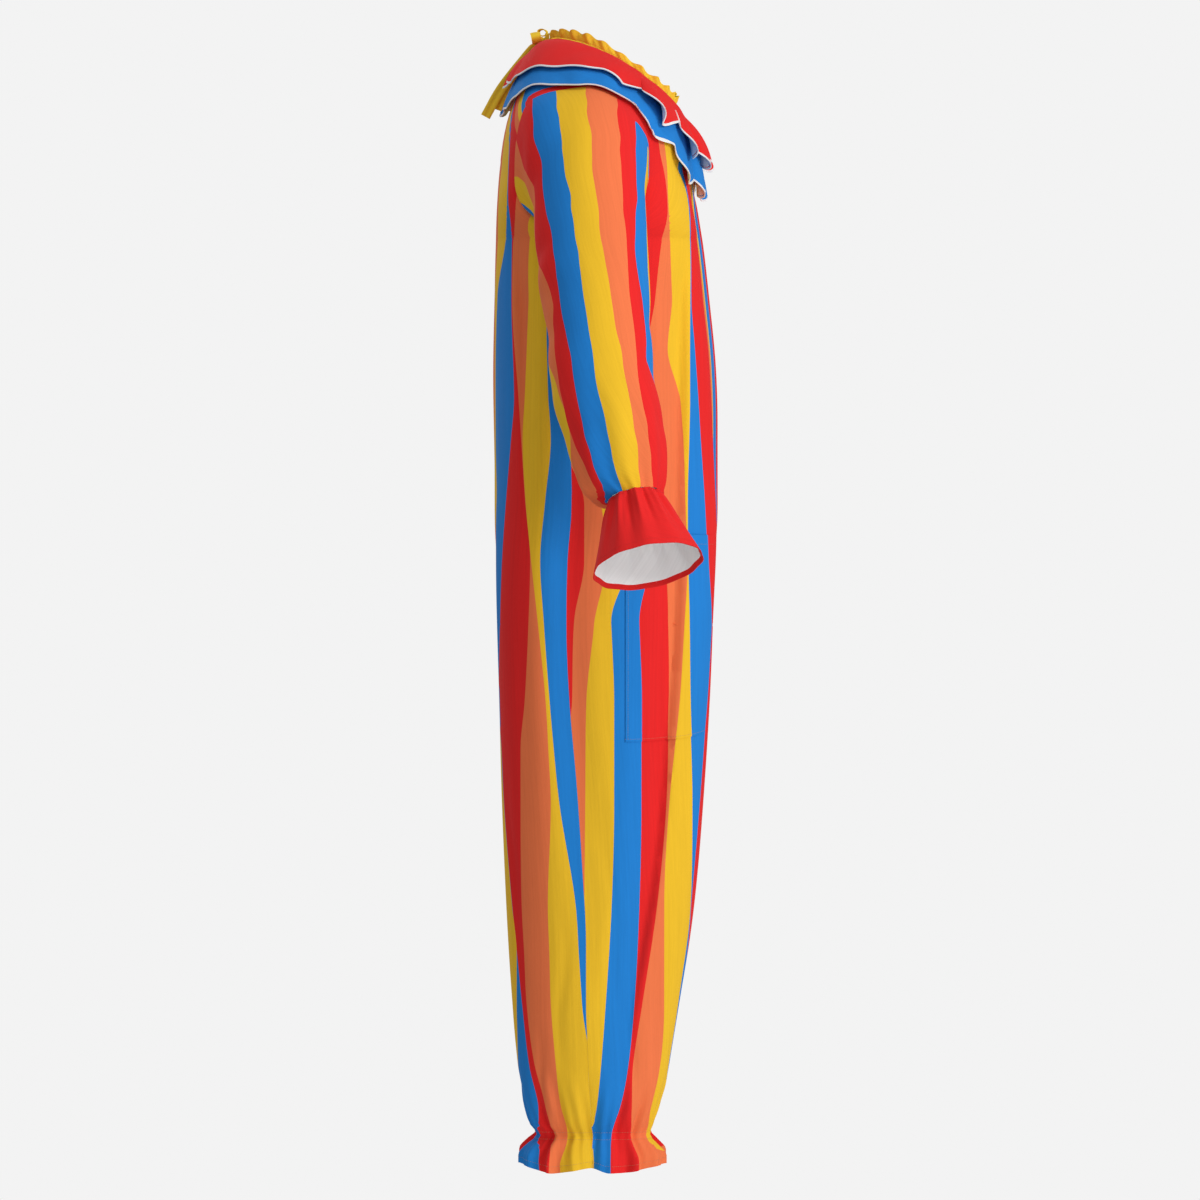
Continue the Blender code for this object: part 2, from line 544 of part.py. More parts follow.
def cloth_wall(name, rows, normals, cloth, closed=False, one_side=False):
    """A closed wall: the rows as its outer face, and an inner face one thickness inside."""
    inner = [row - normal * CLOTH for row, normal in zip(rows, normals)]
    outer = pulled_back(rows, EDGE_GAP, closed)
    inner = pulled_back(inner, INNER_EDGE_GAP, closed)
    for row in outer + inner if one_side else ():
        side = math.copysign(1.0, row[len(row) // 2, 0])
        row[:, 0] = side * np.maximum(side * row[:, 0], MIDDLE_GAP)
    numbers, faces = layer_triangles([len(row) for row in rows], closed)
    count = sum(len(row) for row in rows)
    corners = list(faces) + [(a + count, c + count, b + count) for a, b, c in faces]
    edges = [numbers[0][::-1], numbers[-1]]
    if not closed:
        edges += [[row[0] for row in numbers], [row[-1] for row in numbers][::-1]]
    for edge in edges:
        pairs = list(zip(edge, edge[1:])) + ([(edge[-1], edge[0])] if closed else [])
        for a, b in pairs:
            corners += [(a, a + count, b + count), (a, b + count, b)]
    points = np.concatenate(outer + inner)
    if volume(points, corners) < 0:
        corners = [(a, c, b) for a, b, c in corners]
    return make_object(name, points, corners, cloth)


def body_panels(cloths):
    """The four panels, shoulder to ankle, and their sheets for the pieces that lie on them."""
    sheets = {}
    for side, side_name in ((RIGHT, "right"), (LEFT, "left")):
        for part in ("front", "back"):
            sheets[f"{part}_{side_name}"] = panel_rows(part, side)
    normals = seam_normals(sheets)
    for name, rows in sheets.items():
        cloth_wall(name, rows, normals[name], cloths[name.split("_")[0]], one_side=True)
    return sheets, normals


def pocket(name, rows, normals, cloth):
    """Patch on a front panel, made from the panel's own points, moved out."""
    first = len(FRONT_YOKE_ROWS) + POCKET_ROWS[0]
    last = len(FRONT_YOKE_ROWS) + POCKET_ROWS[1]
    left, right = POCKET_COLUMNS
    patch = [row[left:right + 1] for row in rows[first:last + 1]]
    out = [normal[left:right + 1] for normal in normals[first:last + 1]]
    raised = [row + way * LAYER for row, way in zip(patch, out)]
    cloth_wall(name, raised, out, cloth)


def cuff_frame():
    """Axis of the cuff, and the directions across it: outward and towards the back."""
    axis = np.array(CUFF_AXIS) / np.linalg.norm(CUFF_AXIS)
    across = np.cross(axis, (0.0, 1.0, 0.0))
    across /= np.linalg.norm(across)
    return axis, across, np.cross(across, axis)


def armhole(wearer_side):
    """Loop of armhole points: shoulder, front, armpit, back."""
    front = [panel_row("front", wearer_side, down=down)[-1] for down in FRONT_YOKE_ROWS]
    back = [panel_row("back", wearer_side, down=down)[-1] for down in BACK_YOKE_ROWS]
    pit = panel_row("front", wearer_side, height=ARMPIT_HEIGHT)[-1]
    return np.array(front + [pit] + back[:0:-1])


def sleeve_ring(station, count, loop):
    """Ring of points at a station of the table; the first ones take the armhole's shape."""
    row = {name: SLEEVE_AT[name][station] for name in SLEEVE_COLUMNS}
    top = np.array((row["top_x"], row["middle_y"], row["top_z"]))
    low = np.array((row["low_x"], row["middle_y"], row["low_z"]))
    middle, rise = (top + low) / 2, (top - low) / 2
    turned = float(ease((station - LEVEL_STATIONS) / (len(SLEEVE) - 1 - LEVEL_STATIONS)))
    forward = np.array((0.0, -1.0, 0.0)) * (1 - turned) - cuff_frame()[2] * turned
    depth = forward * row["half_depth"]
    angle = np.linspace(0, 2 * math.pi, count, endpoint=False)
    plain_share = float(ease(station / SLEEVE_BLEND))
    near_wrist = station - (len(SLEEVE) - len(WRIST_WAVES))
    wave = WRIST_WAVES[near_wrist] if near_wrist >= 0 else 0.0
    swell = 1 + wave * np.cos(SLEEVE_WAVES * angle) / row["half_depth"]
    ring = (middle + np.cos(angle)[:, None] * rise * swell[:, None]
            + np.sin(angle)[:, None] * depth * swell[:, None])
    if plain_share < 1:
        first = {name: SLEEVE_AT[name][0] for name in SLEEVE_COLUMNS}
        start = np.array((first["top_x"], 0.0, first["top_z"]))
        end = np.array((first["low_x"], 0.0, first["low_z"]))
        spine = (start - end) / np.linalg.norm(start - end)
        offset = loop - (start + end) / 2
        up = offset @ spine / (np.linalg.norm(start - end) / 2)
        aside = offset[:, 1] - first["middle_y"]
        carried = (middle + up[:, None] * rise
                   - (aside / first["half_depth"])[:, None] * depth)
        off_plane = offset - (offset @ spine)[:, None] * spine
        carried[:, 0] += off_plane[:, 0]
        ring = carried * (1 - plain_share) + ring * plain_share
    return ring


def sleeve(name, wearer_side, cloth):
    """Sleeve tube from the armhole to the wrist."""
    loop = armhole(wearer_side)
    rings = [loop.copy()]
    last_plain = len(SLEEVE) - len(WRIST_WAVES)
    for station in range(1, len(SLEEVE)):
        count = len(loop) if station < last_plain else 2 * len(loop)
        rings.append(sleeve_ring(station, count, loop))
    rings = on_side(rings, wearer_side)
    normals = seam_normals({name: rings}, closed=True)[name]
    cloth_wall(name, rings, normals, cloth, closed=True)
    return rings


def cuff(name, wearer_side, cloth):
    """Flared flounce below the wrist."""
    axis, across, deep = cuff_frame()
    last = {column: SLEEVE_AT[column][-1] for column in SLEEVE_COLUMNS}
    start = np.array(((last["top_x"] + last["low_x"]) / 2, last["middle_y"],
                      (last["top_z"] + last["low_z"]) / 2))
    angle = np.linspace(0, 2 * math.pi, CUFF_COLUMNS, endpoint=False)
    rings = []
    for along, wave in CUFF_ROWS:
        radius = CUFF_TOP_RADIUS + (CUFF_EDGE_RADIUS - CUFF_TOP_RADIUS) * along
        radius = radius + wave * np.cos(CUFF_WAVES * angle)
        middle = start + axis * CUFF_LENGTH * along
        rings.append(middle + np.cos(angle)[:, None] * radius[:, None] * across
                     + np.sin(angle)[:, None] * radius[:, None] * deep)
    rings = on_side(rings, wearer_side)
    normals = seam_normals({name: rings}, closed=True)[name]
    cloth_wall(name, rings, normals, cloth, closed=True)


def collar_angles(count):
    """Angles around the neck from one side of the back slit to the other, 0 at the front."""
    return np.linspace(COLLAR_OPENING - math.pi, math.pi - COLLAR_OPENING, count)


def collar_point(table, colour, angle):
    """Edge point of a flounce at an angle from the front, either side."""
    degrees = math.degrees(abs(angle))
    x, y, z = (float(smooth(table["angle"], table[f"{colour}_{axis}"], degrees))
               for axis in "xyz")
    return np.array((math.copysign(x, angle) if x else 0.0, y, z))


def flounce_rows(colour, below, shares):
    """Rings of a flounce around the neck, held clear of the surface below."""
    angles = collar_angles(COLLAR_POINTS)
    rows = []
    for share in shares:
        ring = []
        for angle in angles:
            start = neckline(abs(angle)) * (math.copysign(1, angle), 1, 1)
            end = collar_point(COLLAR_AT, colour, angle)
            way = end - start
            out = np.array((math.sin(angle), -math.cos(angle), 0.0))
            side = np.cross(way, np.cross(out, way))
            side /= np.linalg.norm(side)
            side = side if side[2] + UPPER_LEAN * side @ out > 0 else -side
            wave = float(smooth(COLLAR_AT["angle"], COLLAR_AT["wave"],
                                math.degrees(abs(angle))))
            swing = 0.5 + 0.5 * math.cos(COLLAR_WAVES * angle)
            point = (start + way * share + side * COLLAR_CROWN * 4 * share * (1 - share)
                     + side * wave * swing * share ** WAVE_GROWTH)
            room = SEAM_ROOM[colour] + LOOSENESS * float(ease(share / LOOSE_FROM))
            ring.append(clear_of(below, point, LAYER + room))
        rows.append(np.array(ring))
    return rows


def clear_of(tree, point, lift):
    """A point moved out until it is at least lift outside the surface of a tree."""
    for _ in range(3):
        place, normal, _, distance = tree.find_nearest(Vector(point))
        offset = Vector(point) - place
        height = distance if offset.dot(normal) > 0 else -distance
        if height >= lift:
            break
        point = np.array(place + normal * lift)
    return point


def surface_tree(layers, core=None):
    """Search tree over the outer faces of sheets given as (rows, closed)."""
    points, corners = [], []
    for rows, closed in layers:
        start, turn = len(points), facing(rows, closed, core)
        points += [Vector(p) for row in rows for p in row]
        for a, b, c in layer_triangles([len(row) for row in rows], closed)[1]:
            face = (a, b, c) if turn > 0 else (a, c, b)
            corners.append(tuple(start + k for k in face))
    return BVHTree.FromPolygons(points, corners)


def flounce(colour, below, cloth, white):
    """One collar flounce with its bound edge; gives its surface for the next layer."""
    width = np.linalg.norm(collar_point(COLLAR_AT, colour, math.pi / 2) - neckline(math.pi / 2))
    edge_share = 1 - TRIM_WIDTH / width
    rows = flounce_rows(colour, below, [share * edge_share for share in FLOUNCE_ROWS])
    edge = flounce_rows(colour, below, (edge_share, 1.0))
    whole = rows[:-1] + edge
    normals = seam_normals({colour: whole}, core=COLLAR_CORE)[colour]
    cloth_wall(f"collar_{colour}", rows, normals[:-1], cloth)
    cloth_wall(f"trim_{colour}", edge, normals[-2:], white)
    return surface_tree([(whole, False)], core=COLLAR_CORE)


def neck_ruffle(below, cloth):
    """Standing gathered strip on the neckline; gives its rows for the ribbons at its ends."""
    rows = []
    for share in RUFFLE_ROWS:
        ring = []
        for angle in collar_angles(RUFFLE_POINTS):
            base = neckline(abs(angle)) * (math.copysign(1, angle), 1, 1)
            out = np.array((math.sin(angle), -math.cos(angle), 0.0))
            lifted = clear_of(below, base + (0.0, 0.0, STACK_GAP), RUFFLE_SEAT)
            fall = RUFFLE_FALL * ease((abs(angle) - RUFFLE_FALL_FROM)
                                      / (math.pi - RUFFLE_FALL_FROM))
            wave = RUFFLE_WAVE * share * math.cos(RUFFLE_WAVES * angle)
            tilt = out * (RUFFLE_LEAN * share + wave)
            ring.append(lifted + tilt + (0.0, 0.0, RUFFLE_HEIGHT * (1 - fall) * share))
        rows.append(np.array(ring))
    core = (0.0, NECK_MIDDLE_Y, NECK_MIDDLE_Z)
    normals = seam_normals({"ruffle": rows}, core=core)["ruffle"]
    cloth_wall("neck_ruffle", rows, normals, cloth)
    return rows


def tie_knot(cloth):
    """Rounded knot of the ribbon."""
    mesh = bpy.data.meshes.new("tie_knot")
    shape = bmesh.new()
    bmesh.ops.create_icosphere(shape, subdivisions=2, radius=KNOT_RADIUS)
    bmesh.ops.translate(shape, verts=shape.verts, vec=KNOT)
    shape.to_mesh(mesh)
    shape.free()
    mesh.materials.append(cloth)
    bpy.context.scene.collection.objects.link(bpy.data.objects.new("tie_knot", mesh))


def seam_ribbon(name, ruffle, end, cloth):
    """Ribbon that runs on from one end of the neck ruffle to the knot."""
    knot = np.array(KNOT)
    sewn = np.array((ruffle[0][end], ruffle[-1][end]))
    way = sewn.mean(axis=0) - knot
    tied = knot + way / np.linalg.norm(way) * (KNOT_RADIUS + KNOT_GAP)
    tied[2] = KNOT[2] - SEAM_RIBBON_DROP
    half = np.array((0.0, 0.0, SEAM_RIBBON_WIDTH / 2))
    rows = [sewn + ((tied - half, tied + half) - sewn) * share for share in SEAM_RIBBON_SHARES]
    normals = seam_normals({name: rows}, core=KNOT)[name]
    cloth_wall(name, rows, normals, cloth)


def tie_loop(name, along, up, half_length, half_height, width, shift, cloth):
    """Loop of the bow: a band of ribbon around an oval that starts at the knot."""
    along, up = np.array(along), np.array(up)
    along, up = along / np.linalg.norm(along), up / np.linalg.norm(up)
    across = np.cross(along, up)
    centre = KNOT + along * (KNOT_RADIUS + KNOT_GAP + half_length) + (0.0, shift, 0.0)
    angle = np.linspace(0, 2 * math.pi, LOOP_POINTS, endpoint=False)
    oval = (centre + np.cos(angle)[:, None] * along * half_length
            + np.sin(angle)[:, None] * up * half_height)
    rings = [oval - across * width / 2, oval + across * width / 2]
    normals = seam_normals({name: rings}, closed=True)[name]
    cloth_wall(name, rings, normals, cloth, closed=True)


def tie_tail(name, place, path, cloth):
    """Free end of the ribbon, on edge in the slit, gathered where it leaves the knot."""
    start = np.array(KNOT[1:]) + np.array(TAIL_LEAVES) * (KNOT_RADIUS - EDGE_GAP)
    centre = np.array([(place, y, z) for y, z in ((start[0], start[1]), *path)])
    along = np.gradient(centre, axis=0)
    across = np.cross(along, (1.0, 0.0, 0.0))
    across *= RIBBON_WIDTH / 2 / np.linalg.norm(across, axis=1)[:, None]
    across[0] *= TAIL_GATHER
    rows = [np.array((middle - half, middle + half)) for middle, half in zip(centre, across)]
    core = (-place, 0.0, 0.0)
    normals = seam_normals({name: rows}, core=core)[name]
    cloth_wall(name, rows, normals, cloth)


def build():
    for old in list(bpy.data.objects):
        bpy.data.objects.remove(old, do_unlink=True)
    red = material("red_cloth", (0.79, 0.02, 0.02))
    blue = material("blue_cloth", (0.03, 0.20, 0.60))
    yellow = material("yellow_cloth", (0.87, 0.53, 0.03))
    orange = material("orange_cloth", (0.90, 0.21, 0.07))
    white = material("white_cloth", (0.80, 0.80, 0.80))
    sheets, normals = body_panels({"front": yellow, "back": orange})
    layers = [(rows, False) for rows in sheets.values()]
    for side, side_name in ((RIGHT, "right"), (LEFT, "left")):
        front = f"front_{side_name}"
        pocket(f"pocket_{side_name}", sheets[front], normals[front], blue)
        layers.append((sleeve(f"sleeve_{side_name}", side, blue), True))
        cuff(f"cuff_{side_name}", side, red)
    blue_top = flounce("blue", surface_tree(layers), blue, white)
    red_top = flounce("red", blue_top, red, white)
    ruffle = neck_ruffle(red_top, yellow)
    tie_knot(yellow)
    seam_ribbon("seam_ribbon_right", ruffle, 0, yellow)
    seam_ribbon("seam_ribbon_left", ruffle, -1, yellow)
    for name, loop in LOOPS.items():
        tie_loop(name, *loop, yellow)
    for name, tail in TAILS.items():
        tie_tail(name, *tail, yellow)


build()
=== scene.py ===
import json
import math
from functools import partial

import bmesh
import bpy
import numpy as np
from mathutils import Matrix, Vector
from mathutils.bvhtree import BVHTree

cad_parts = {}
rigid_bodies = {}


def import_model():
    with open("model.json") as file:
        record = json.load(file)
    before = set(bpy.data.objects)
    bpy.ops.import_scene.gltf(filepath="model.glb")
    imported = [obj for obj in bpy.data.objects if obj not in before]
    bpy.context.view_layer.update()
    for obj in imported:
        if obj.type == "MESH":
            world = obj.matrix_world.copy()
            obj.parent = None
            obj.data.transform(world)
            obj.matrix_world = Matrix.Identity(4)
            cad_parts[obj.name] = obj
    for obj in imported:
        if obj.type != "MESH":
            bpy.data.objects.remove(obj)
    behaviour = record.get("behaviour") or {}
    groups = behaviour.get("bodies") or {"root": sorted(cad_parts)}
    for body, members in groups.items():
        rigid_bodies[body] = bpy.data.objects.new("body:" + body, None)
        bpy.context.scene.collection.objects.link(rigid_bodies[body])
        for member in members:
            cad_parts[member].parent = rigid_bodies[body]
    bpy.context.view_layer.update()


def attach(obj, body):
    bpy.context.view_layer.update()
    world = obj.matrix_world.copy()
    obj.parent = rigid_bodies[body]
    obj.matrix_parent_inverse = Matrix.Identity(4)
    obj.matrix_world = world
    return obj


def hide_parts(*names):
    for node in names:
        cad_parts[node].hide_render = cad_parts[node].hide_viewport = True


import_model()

# Clown costume, worn open and hollow. Metres, front towards -Y, the wearer's right at -X.
# Every piece of cloth is a grid of points, rows by columns, turned into a thin closed wall.

right, left = -1, 1
sideNames = {right: "right", left: "left"}

cloth = {
    "thickness": 0.0012,
    "seamGap": 0.00006,  # each piece stops this far from its seam
    "innerGap": 0.0005,  # the same at its inner face
    "middleGap": 0.00005,  # from the middle plane
    "layer": 0.0018,  # from face to face where one piece lies on another
    "stripe": 0.0365,  # width of a stripe
    "hiddenStripe": 0.00003,  # what is left of one that lies in a fold
    "sharpAngle": 50,
    "nearly": 1e-9,  # what counts as equal between two places in a table
    "hemBand": 0.009,  # turned up inside the hems
}


class Curve:
    # monotone cubic through values at rising keys, level beyond its ends
    def __init__(self, keys, values):
        self.keys, self.values = (np.asarray(part, dtype=float) for part in (keys, values))
        self.step = np.diff(self.keys)
        rise = np.diff(self.values) / self.step
        slope = np.concatenate(([rise[0]], (rise[:-1] + rise[1:]) / 2, [rise[-1]]))
        for i in range(1, len(rise)):
            if rise[i - 1] * rise[i] <= 0:
                slope[i] = 0.0
            else:
                limit = 3 * min(abs(rise[i - 1]), abs(rise[i]))
                slope[i] = math.copysign(min(abs(slope[i]), limit), rise[i])
        self.slope = slope

    def __call__(self, at):
        at = np.asarray(at, dtype=float)
        place = np.clip(np.searchsorted(self.keys, at, side="right") - 1, 0, len(self.step) - 1)
        u = np.clip((at - self.keys[place]) / self.step[place], 0.0, 1.0)
        start, end = self.values[place], self.values[place + 1]
        bend = self.slope[place] * u * (1 - u) ** 2 - self.slope[place + 1] * u * u * (1 - u)
        return start * (1 + 2 * u) * (1 - u) ** 2 + end * u * u * (3 - 2 * u) + self.step[place] * bend


def curves(columns, rows):
    table = np.array(rows, dtype=float).T
    return {name: Curve(table[0], column) for name, column in zip(columns, table)}


def valuesAt(table, place):
    return {name: float(curve(place)) for name, curve in table.items()}


def ease(amount):
    amount = np.clip(amount, 0.0, 1.0)
    return amount * amount * (3 - 2 * amount)


def bump(amount):
    # 1 at the middle of a range of 0 to 1, nothing at its ends
    return ease(2 * np.minimum(amount, 1 - amount))


def bezier(points, at):
    a, b, c, d = (np.asarray(p, dtype=float) for p in points)
    at = np.asarray(at)[:, None]
    return a * (1 - at) ** 3 + b * 3 * at * (1 - at) ** 2 + c * 3 * at * at * (1 - at) + d * at ** 3


def lengths(points):
    return np.concatenate(([0.0], np.cumsum(np.linalg.norm(np.diff(points, axis=0), axis=1))))


def unit(vectors):
    vectors = np.asarray(vectors, dtype=float)
    return vectors / np.linalg.norm(vectors, axis=-1, keepdims=True)


def sampled(places, run, points):
    # points of a row at other places along it
    return np.stack([np.interp(places, run, points[:, k]) for k in range(3)], axis=1)


def uneven(angle, amount, times, shift):
    # near 1 all the way round, so that waves multiplied by it differ in height
    return 1 + amount * np.sin(times * angle + shift)


def placed(name, data):
    made = bpy.data.objects.new(name, data)
    bpy.context.scene.collection.objects.link(made)
    return made


def gridNormals(grid, closed=False):
    if closed:
        along = np.roll(grid, -1, axis=1) - np.roll(grid, 1, axis=1)
    else:
        along = np.gradient(grid, axis=1)
    return unit(np.cross(np.gradient(grid, axis=0), along))


def outwardNormals(grid, closed=False, core=None):
    # unit normals that point away from the core, or from the middle of each row
    normals = gridNormals(grid, closed)
    core = grid.mean(axis=1, keepdims=True) if core is None else core
    away = np.einsum("ijk,ijk->", normals, grid - core)
    return normals if away > 0 else -normals


def pulledBack(grid, gap, closed):
    grid = grid.copy()
    if not closed:
        grid[:, 0] += unit(grid[:, 1] - grid[:, 0]) * gap
        grid[:, -1] += unit(grid[:, -2] - grid[:, -1]) * gap
    grid[0] += unit(grid[1] - grid[0]) * gap
    grid[-1] += unit(grid[-2] - grid[-1]) * gap
    return grid


def cellTriangles(rowCount, columnCount, closed, edges):
    # two triangles a cell; where a stripe's edge crosses a cell, the cut follows it
    spaces = columnCount if closed else columnCount - 1
    i, j = (part.ravel() for part in np.meshgrid(np.arange(rowCount - 1), np.arange(spaces),
                                                 indexing="ij"))
    following = (j + 1) % columnCount
    a, b = i * columnCount + j, i * columnCount + following
    c, d = a + columnCount, b + columnCount
    other = np.zeros(len(i), dtype=bool)
    if edges is not None:
        width = edges.shape[1]
        other = edges[i + 1, j] & edges[i, np.minimum(j + 1, width - 1)]
    first = np.where(other[:, None], np.stack((a, c, b), 1), np.stack((a, c, d), 1))
    second = np.where(other[:, None], np.stack((b, c, d), 1), np.stack((a, d, b), 1))
    steps = np.stack((i, j, other), 1)
    return first, second, steps


def makeCloth(name, grid, normals, outer, inner, closed=False, side=None, printU=None, edges=None,
              hem=0):
    # a closed wall: the grid is its outer face. hem counts the last rows that are turned up inside
    rowCount, columnCount = grid.shape[:2]
    faces = [pulledBack(grid, cloth["seamGap"], closed),
             pulledBack(grid - normals * cloth["thickness"], cloth["innerGap"], closed)]
    if side:
        for face in faces:
            face[..., 0] = side * np.maximum(side * face[..., 0], cloth["middleGap"])
    first, second, steps = cellTriangles(rowCount, columnCount, closed, edges)
    corners = np.concatenate((first, second))
    cells = np.concatenate((steps, steps))
    a, b, c = (faces[0].reshape(-1, 3)[corners[:, k]] for k in range(3))
    turned = np.einsum("ij,ij->", np.cross(b - a, c - a),
                       normals.reshape(-1, 3)[corners[:, 0]]) < 0
    count = rowCount * columnCount
    numbers = np.arange(count).reshape(rowCount, columnCount)
    rims = [list(numbers[0][::-1]), list(numbers[-1])]
    if closed:
        rims = [rim + [rim[0]] for rim in rims]
    else:
        rims += [list(numbers[:, 0]), list(numbers[:, -1][::-1])]
    rimFaces = []
    for rim in rims:
        start, end = np.array(rim[:-1]), np.array(rim[1:])
        rimFaces += [np.stack((start, start + count, end + count), 1),
                     np.stack((start, end + count, end), 1)]
    rimFaces = np.concatenate(rimFaces)
    innerFaces = corners[:, ::-1] + count
    if turned:
        corners, innerFaces, rimFaces = (part[:, ::-1] for part in (corners, innerFaces, rimFaces))
    whole = np.concatenate((corners, innerFaces, rimFaces))
    points = np.concatenate([face.reshape(-1, 3) for face in faces])
    mesh = bpy.data.meshes.new(f"{name}_cloth")
    mesh.vertices.add(len(points))
    mesh.vertices.foreach_set("co", points.astype(np.float32).ravel())
    mesh.loops.add(whole.size)
    mesh.loops.foreach_set("vertex_index", whole.astype(np.int32).ravel())
    mesh.polygons.add(len(whole))
    mesh.polygons.foreach_set("loop_start", np.arange(0, whole.size, 3, dtype=np.int32))
    mesh.materials.append(outer)
    mesh.materials.append(inner)
    lining = np.where(cells[:, 0] >= rowCount - 1 - hem, 0, 1)
    slots = np.concatenate((np.zeros(len(corners)), lining, np.zeros(len(rimFaces))))
    mesh.polygons.foreach_set("material_index", slots.astype(np.int32))
    addUvs(mesh, whole, cells, grid, closed, printU)
    mesh.update(calc_edges=True)
    mesh.validate()
    made = placed(f"{name}_cloth", mesh)
    mesh.shade_smooth()
    mesh.set_sharp_from_angle(angle=math.radians(cloth["sharpAngle"]))
    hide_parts(name)
    return made


def clothSpread(grid, closed):
    # metres along the rows and down the columns; a closed grid has one column more
    rounded = np.concatenate((grid, grid[:, :1]), axis=1) if closed else grid
    across = np.linalg.norm(np.diff(rounded, axis=1), axis=2)
    u = np.concatenate((np.zeros((len(grid), 1)), np.cumsum(across, axis=1)), axis=1)
    if not closed:
        u -= u[:, -1:]  # from the last column, the side seam of a panel
    down = np.linalg.norm(np.diff(rounded, axis=0), axis=2).mean(axis=1)
    v = np.concatenate(([0.0], np.cumsum(down)))[:, None] * np.ones_like(u)
    return u, v


def addUvs(mesh, whole, cells, grid, closed, printU):
    # two layers: the cloth's own metres for the weave, and the stripe numbers for the print
    rowCount, columnCount = grid.shape[:2]
    u, v = clothSpread(grid, closed)
    row, column = np.divmod(whole % (rowCount * columnCount), columnCount)
    if closed:  # cells that close the ring read the extra column
        cellColumn = np.concatenate((cells[:, 1], cells[:, 1], np.zeros(len(whole) - 2 * len(cells))))
        wraps = (cellColumn[:, None] == columnCount - 1) & (column == 0)
        column = np.where(wraps, columnCount, column)
    for name, across in (("weave", u), ("print", printU)):
        if across is not None:
            layer = mesh.uv_layers.new(name=name)
            pairs = np.stack((across[row, column], v[row, column]), axis=-1)
            layer.data.foreach_set("uv", pairs.astype(np.float32).ravel())


def onBothSides(shapes, outer, inner, closed=False, hem=0, core=0.0):
    # pieces of cloth on both sides, from functions that give a side's grid, its stripe numbers
    # and its edge marks; core is how far from the middle the cloth's inside lies
    sheets = {}
    for side, sideName in sideNames.items():
        for part, shape in shapes.items():
            grid, number, onEdge = shape(side)
            middle = None if closed else grid * (0, 0, 1) + (side * core, 0, 0)
            normals = outwardNormals(grid, closed, middle)
            name = f"{part}_{sideName}"
            made = makeCloth(name, grid, normals, outer, inner, closed, None if closed else side,
                             number, onEdge, hem)
            sheets[name] = (grid, normals, made)
    return sheets


def stacked(rows, side):
    # rows of points, stripe numbers and edge marks as three grids on the side they belong to
    grid, number, onEdge = (np.array(column) for column in zip(*rows))
    return grid * (side, 1, 1), number, onEdge


body = {
    "armpit": -0.202,
    "hem": -1.408,
    "crotchTop": -0.560,
    "crotch": -0.700,
    "fullness": 0.58,  # handle length of a quarter arc
    "torsoFlat": 0.22,  # share of the half width that is flat
    "legShapeTop": -0.440,
    "legMiddle": 0.110,
    "foldDrop": 0.010,
    "foldRise": 0.060,
    "foldStart": 0.090,
    "hollowReach": 0.030,
    "leftFolds": 0.8,
    "creaseWobble": 0.003, "wobbleByHeight": 37, "wobbleByPlace": 90,  # never quite straight
    "leftCreasePlace": 0.94, "leftCreaseShift": 0.006, "leftCreaseDepth": 0.85,
    "gathers": 13,  # around each ankle
    "gatherDrift": (0.9, 0.37, 0.8),  # amount, times and shift by which they crowd and part
    "gatherEase": (0.75, 0.25, 0.61),  # plain share, changing share and times of their height
    "fineGathers": 31, "fineTurn": 40,
    "fineDepth": 0.0014, "gatherFrom": -1.270, "gatherFade": 0.08,
    "hemFrom": -1.362,
    "rowStep": 0.0062,
    "columns": 100,
    "core": 0.044,  # from the middle plane to the line that the panels face away from
    "yokeRows": (22, 42), "yokeClose": 0.72,  # more rows near the armpit
    "yokeDrop": 0.32,
    "yokeSettle": 0.75,  # from here down the yoke turns into the section at the armpit
    "yokeEdge": 0.03,  # over which creases fade at the yoke's edges
    "neckHalfWidth": 0.078, "neckY": -0.015, "neckHalfDepth": 0.077,
    "neckZ": 0.015, "neckTilt": 0.042, "neckRise": 0.016,
    "frontNeck": 0.45, "backNeck": 0.38,  # share of the yoke whose rows start on the neckline
    "centreTurn": 0.009, "centreReach": 0.045, "centreFade": 0.120,
    "centreTop": -0.10, "centreTopFade": 0.08, "centreLow": -0.62, "centreLowFade": 0.14,
}
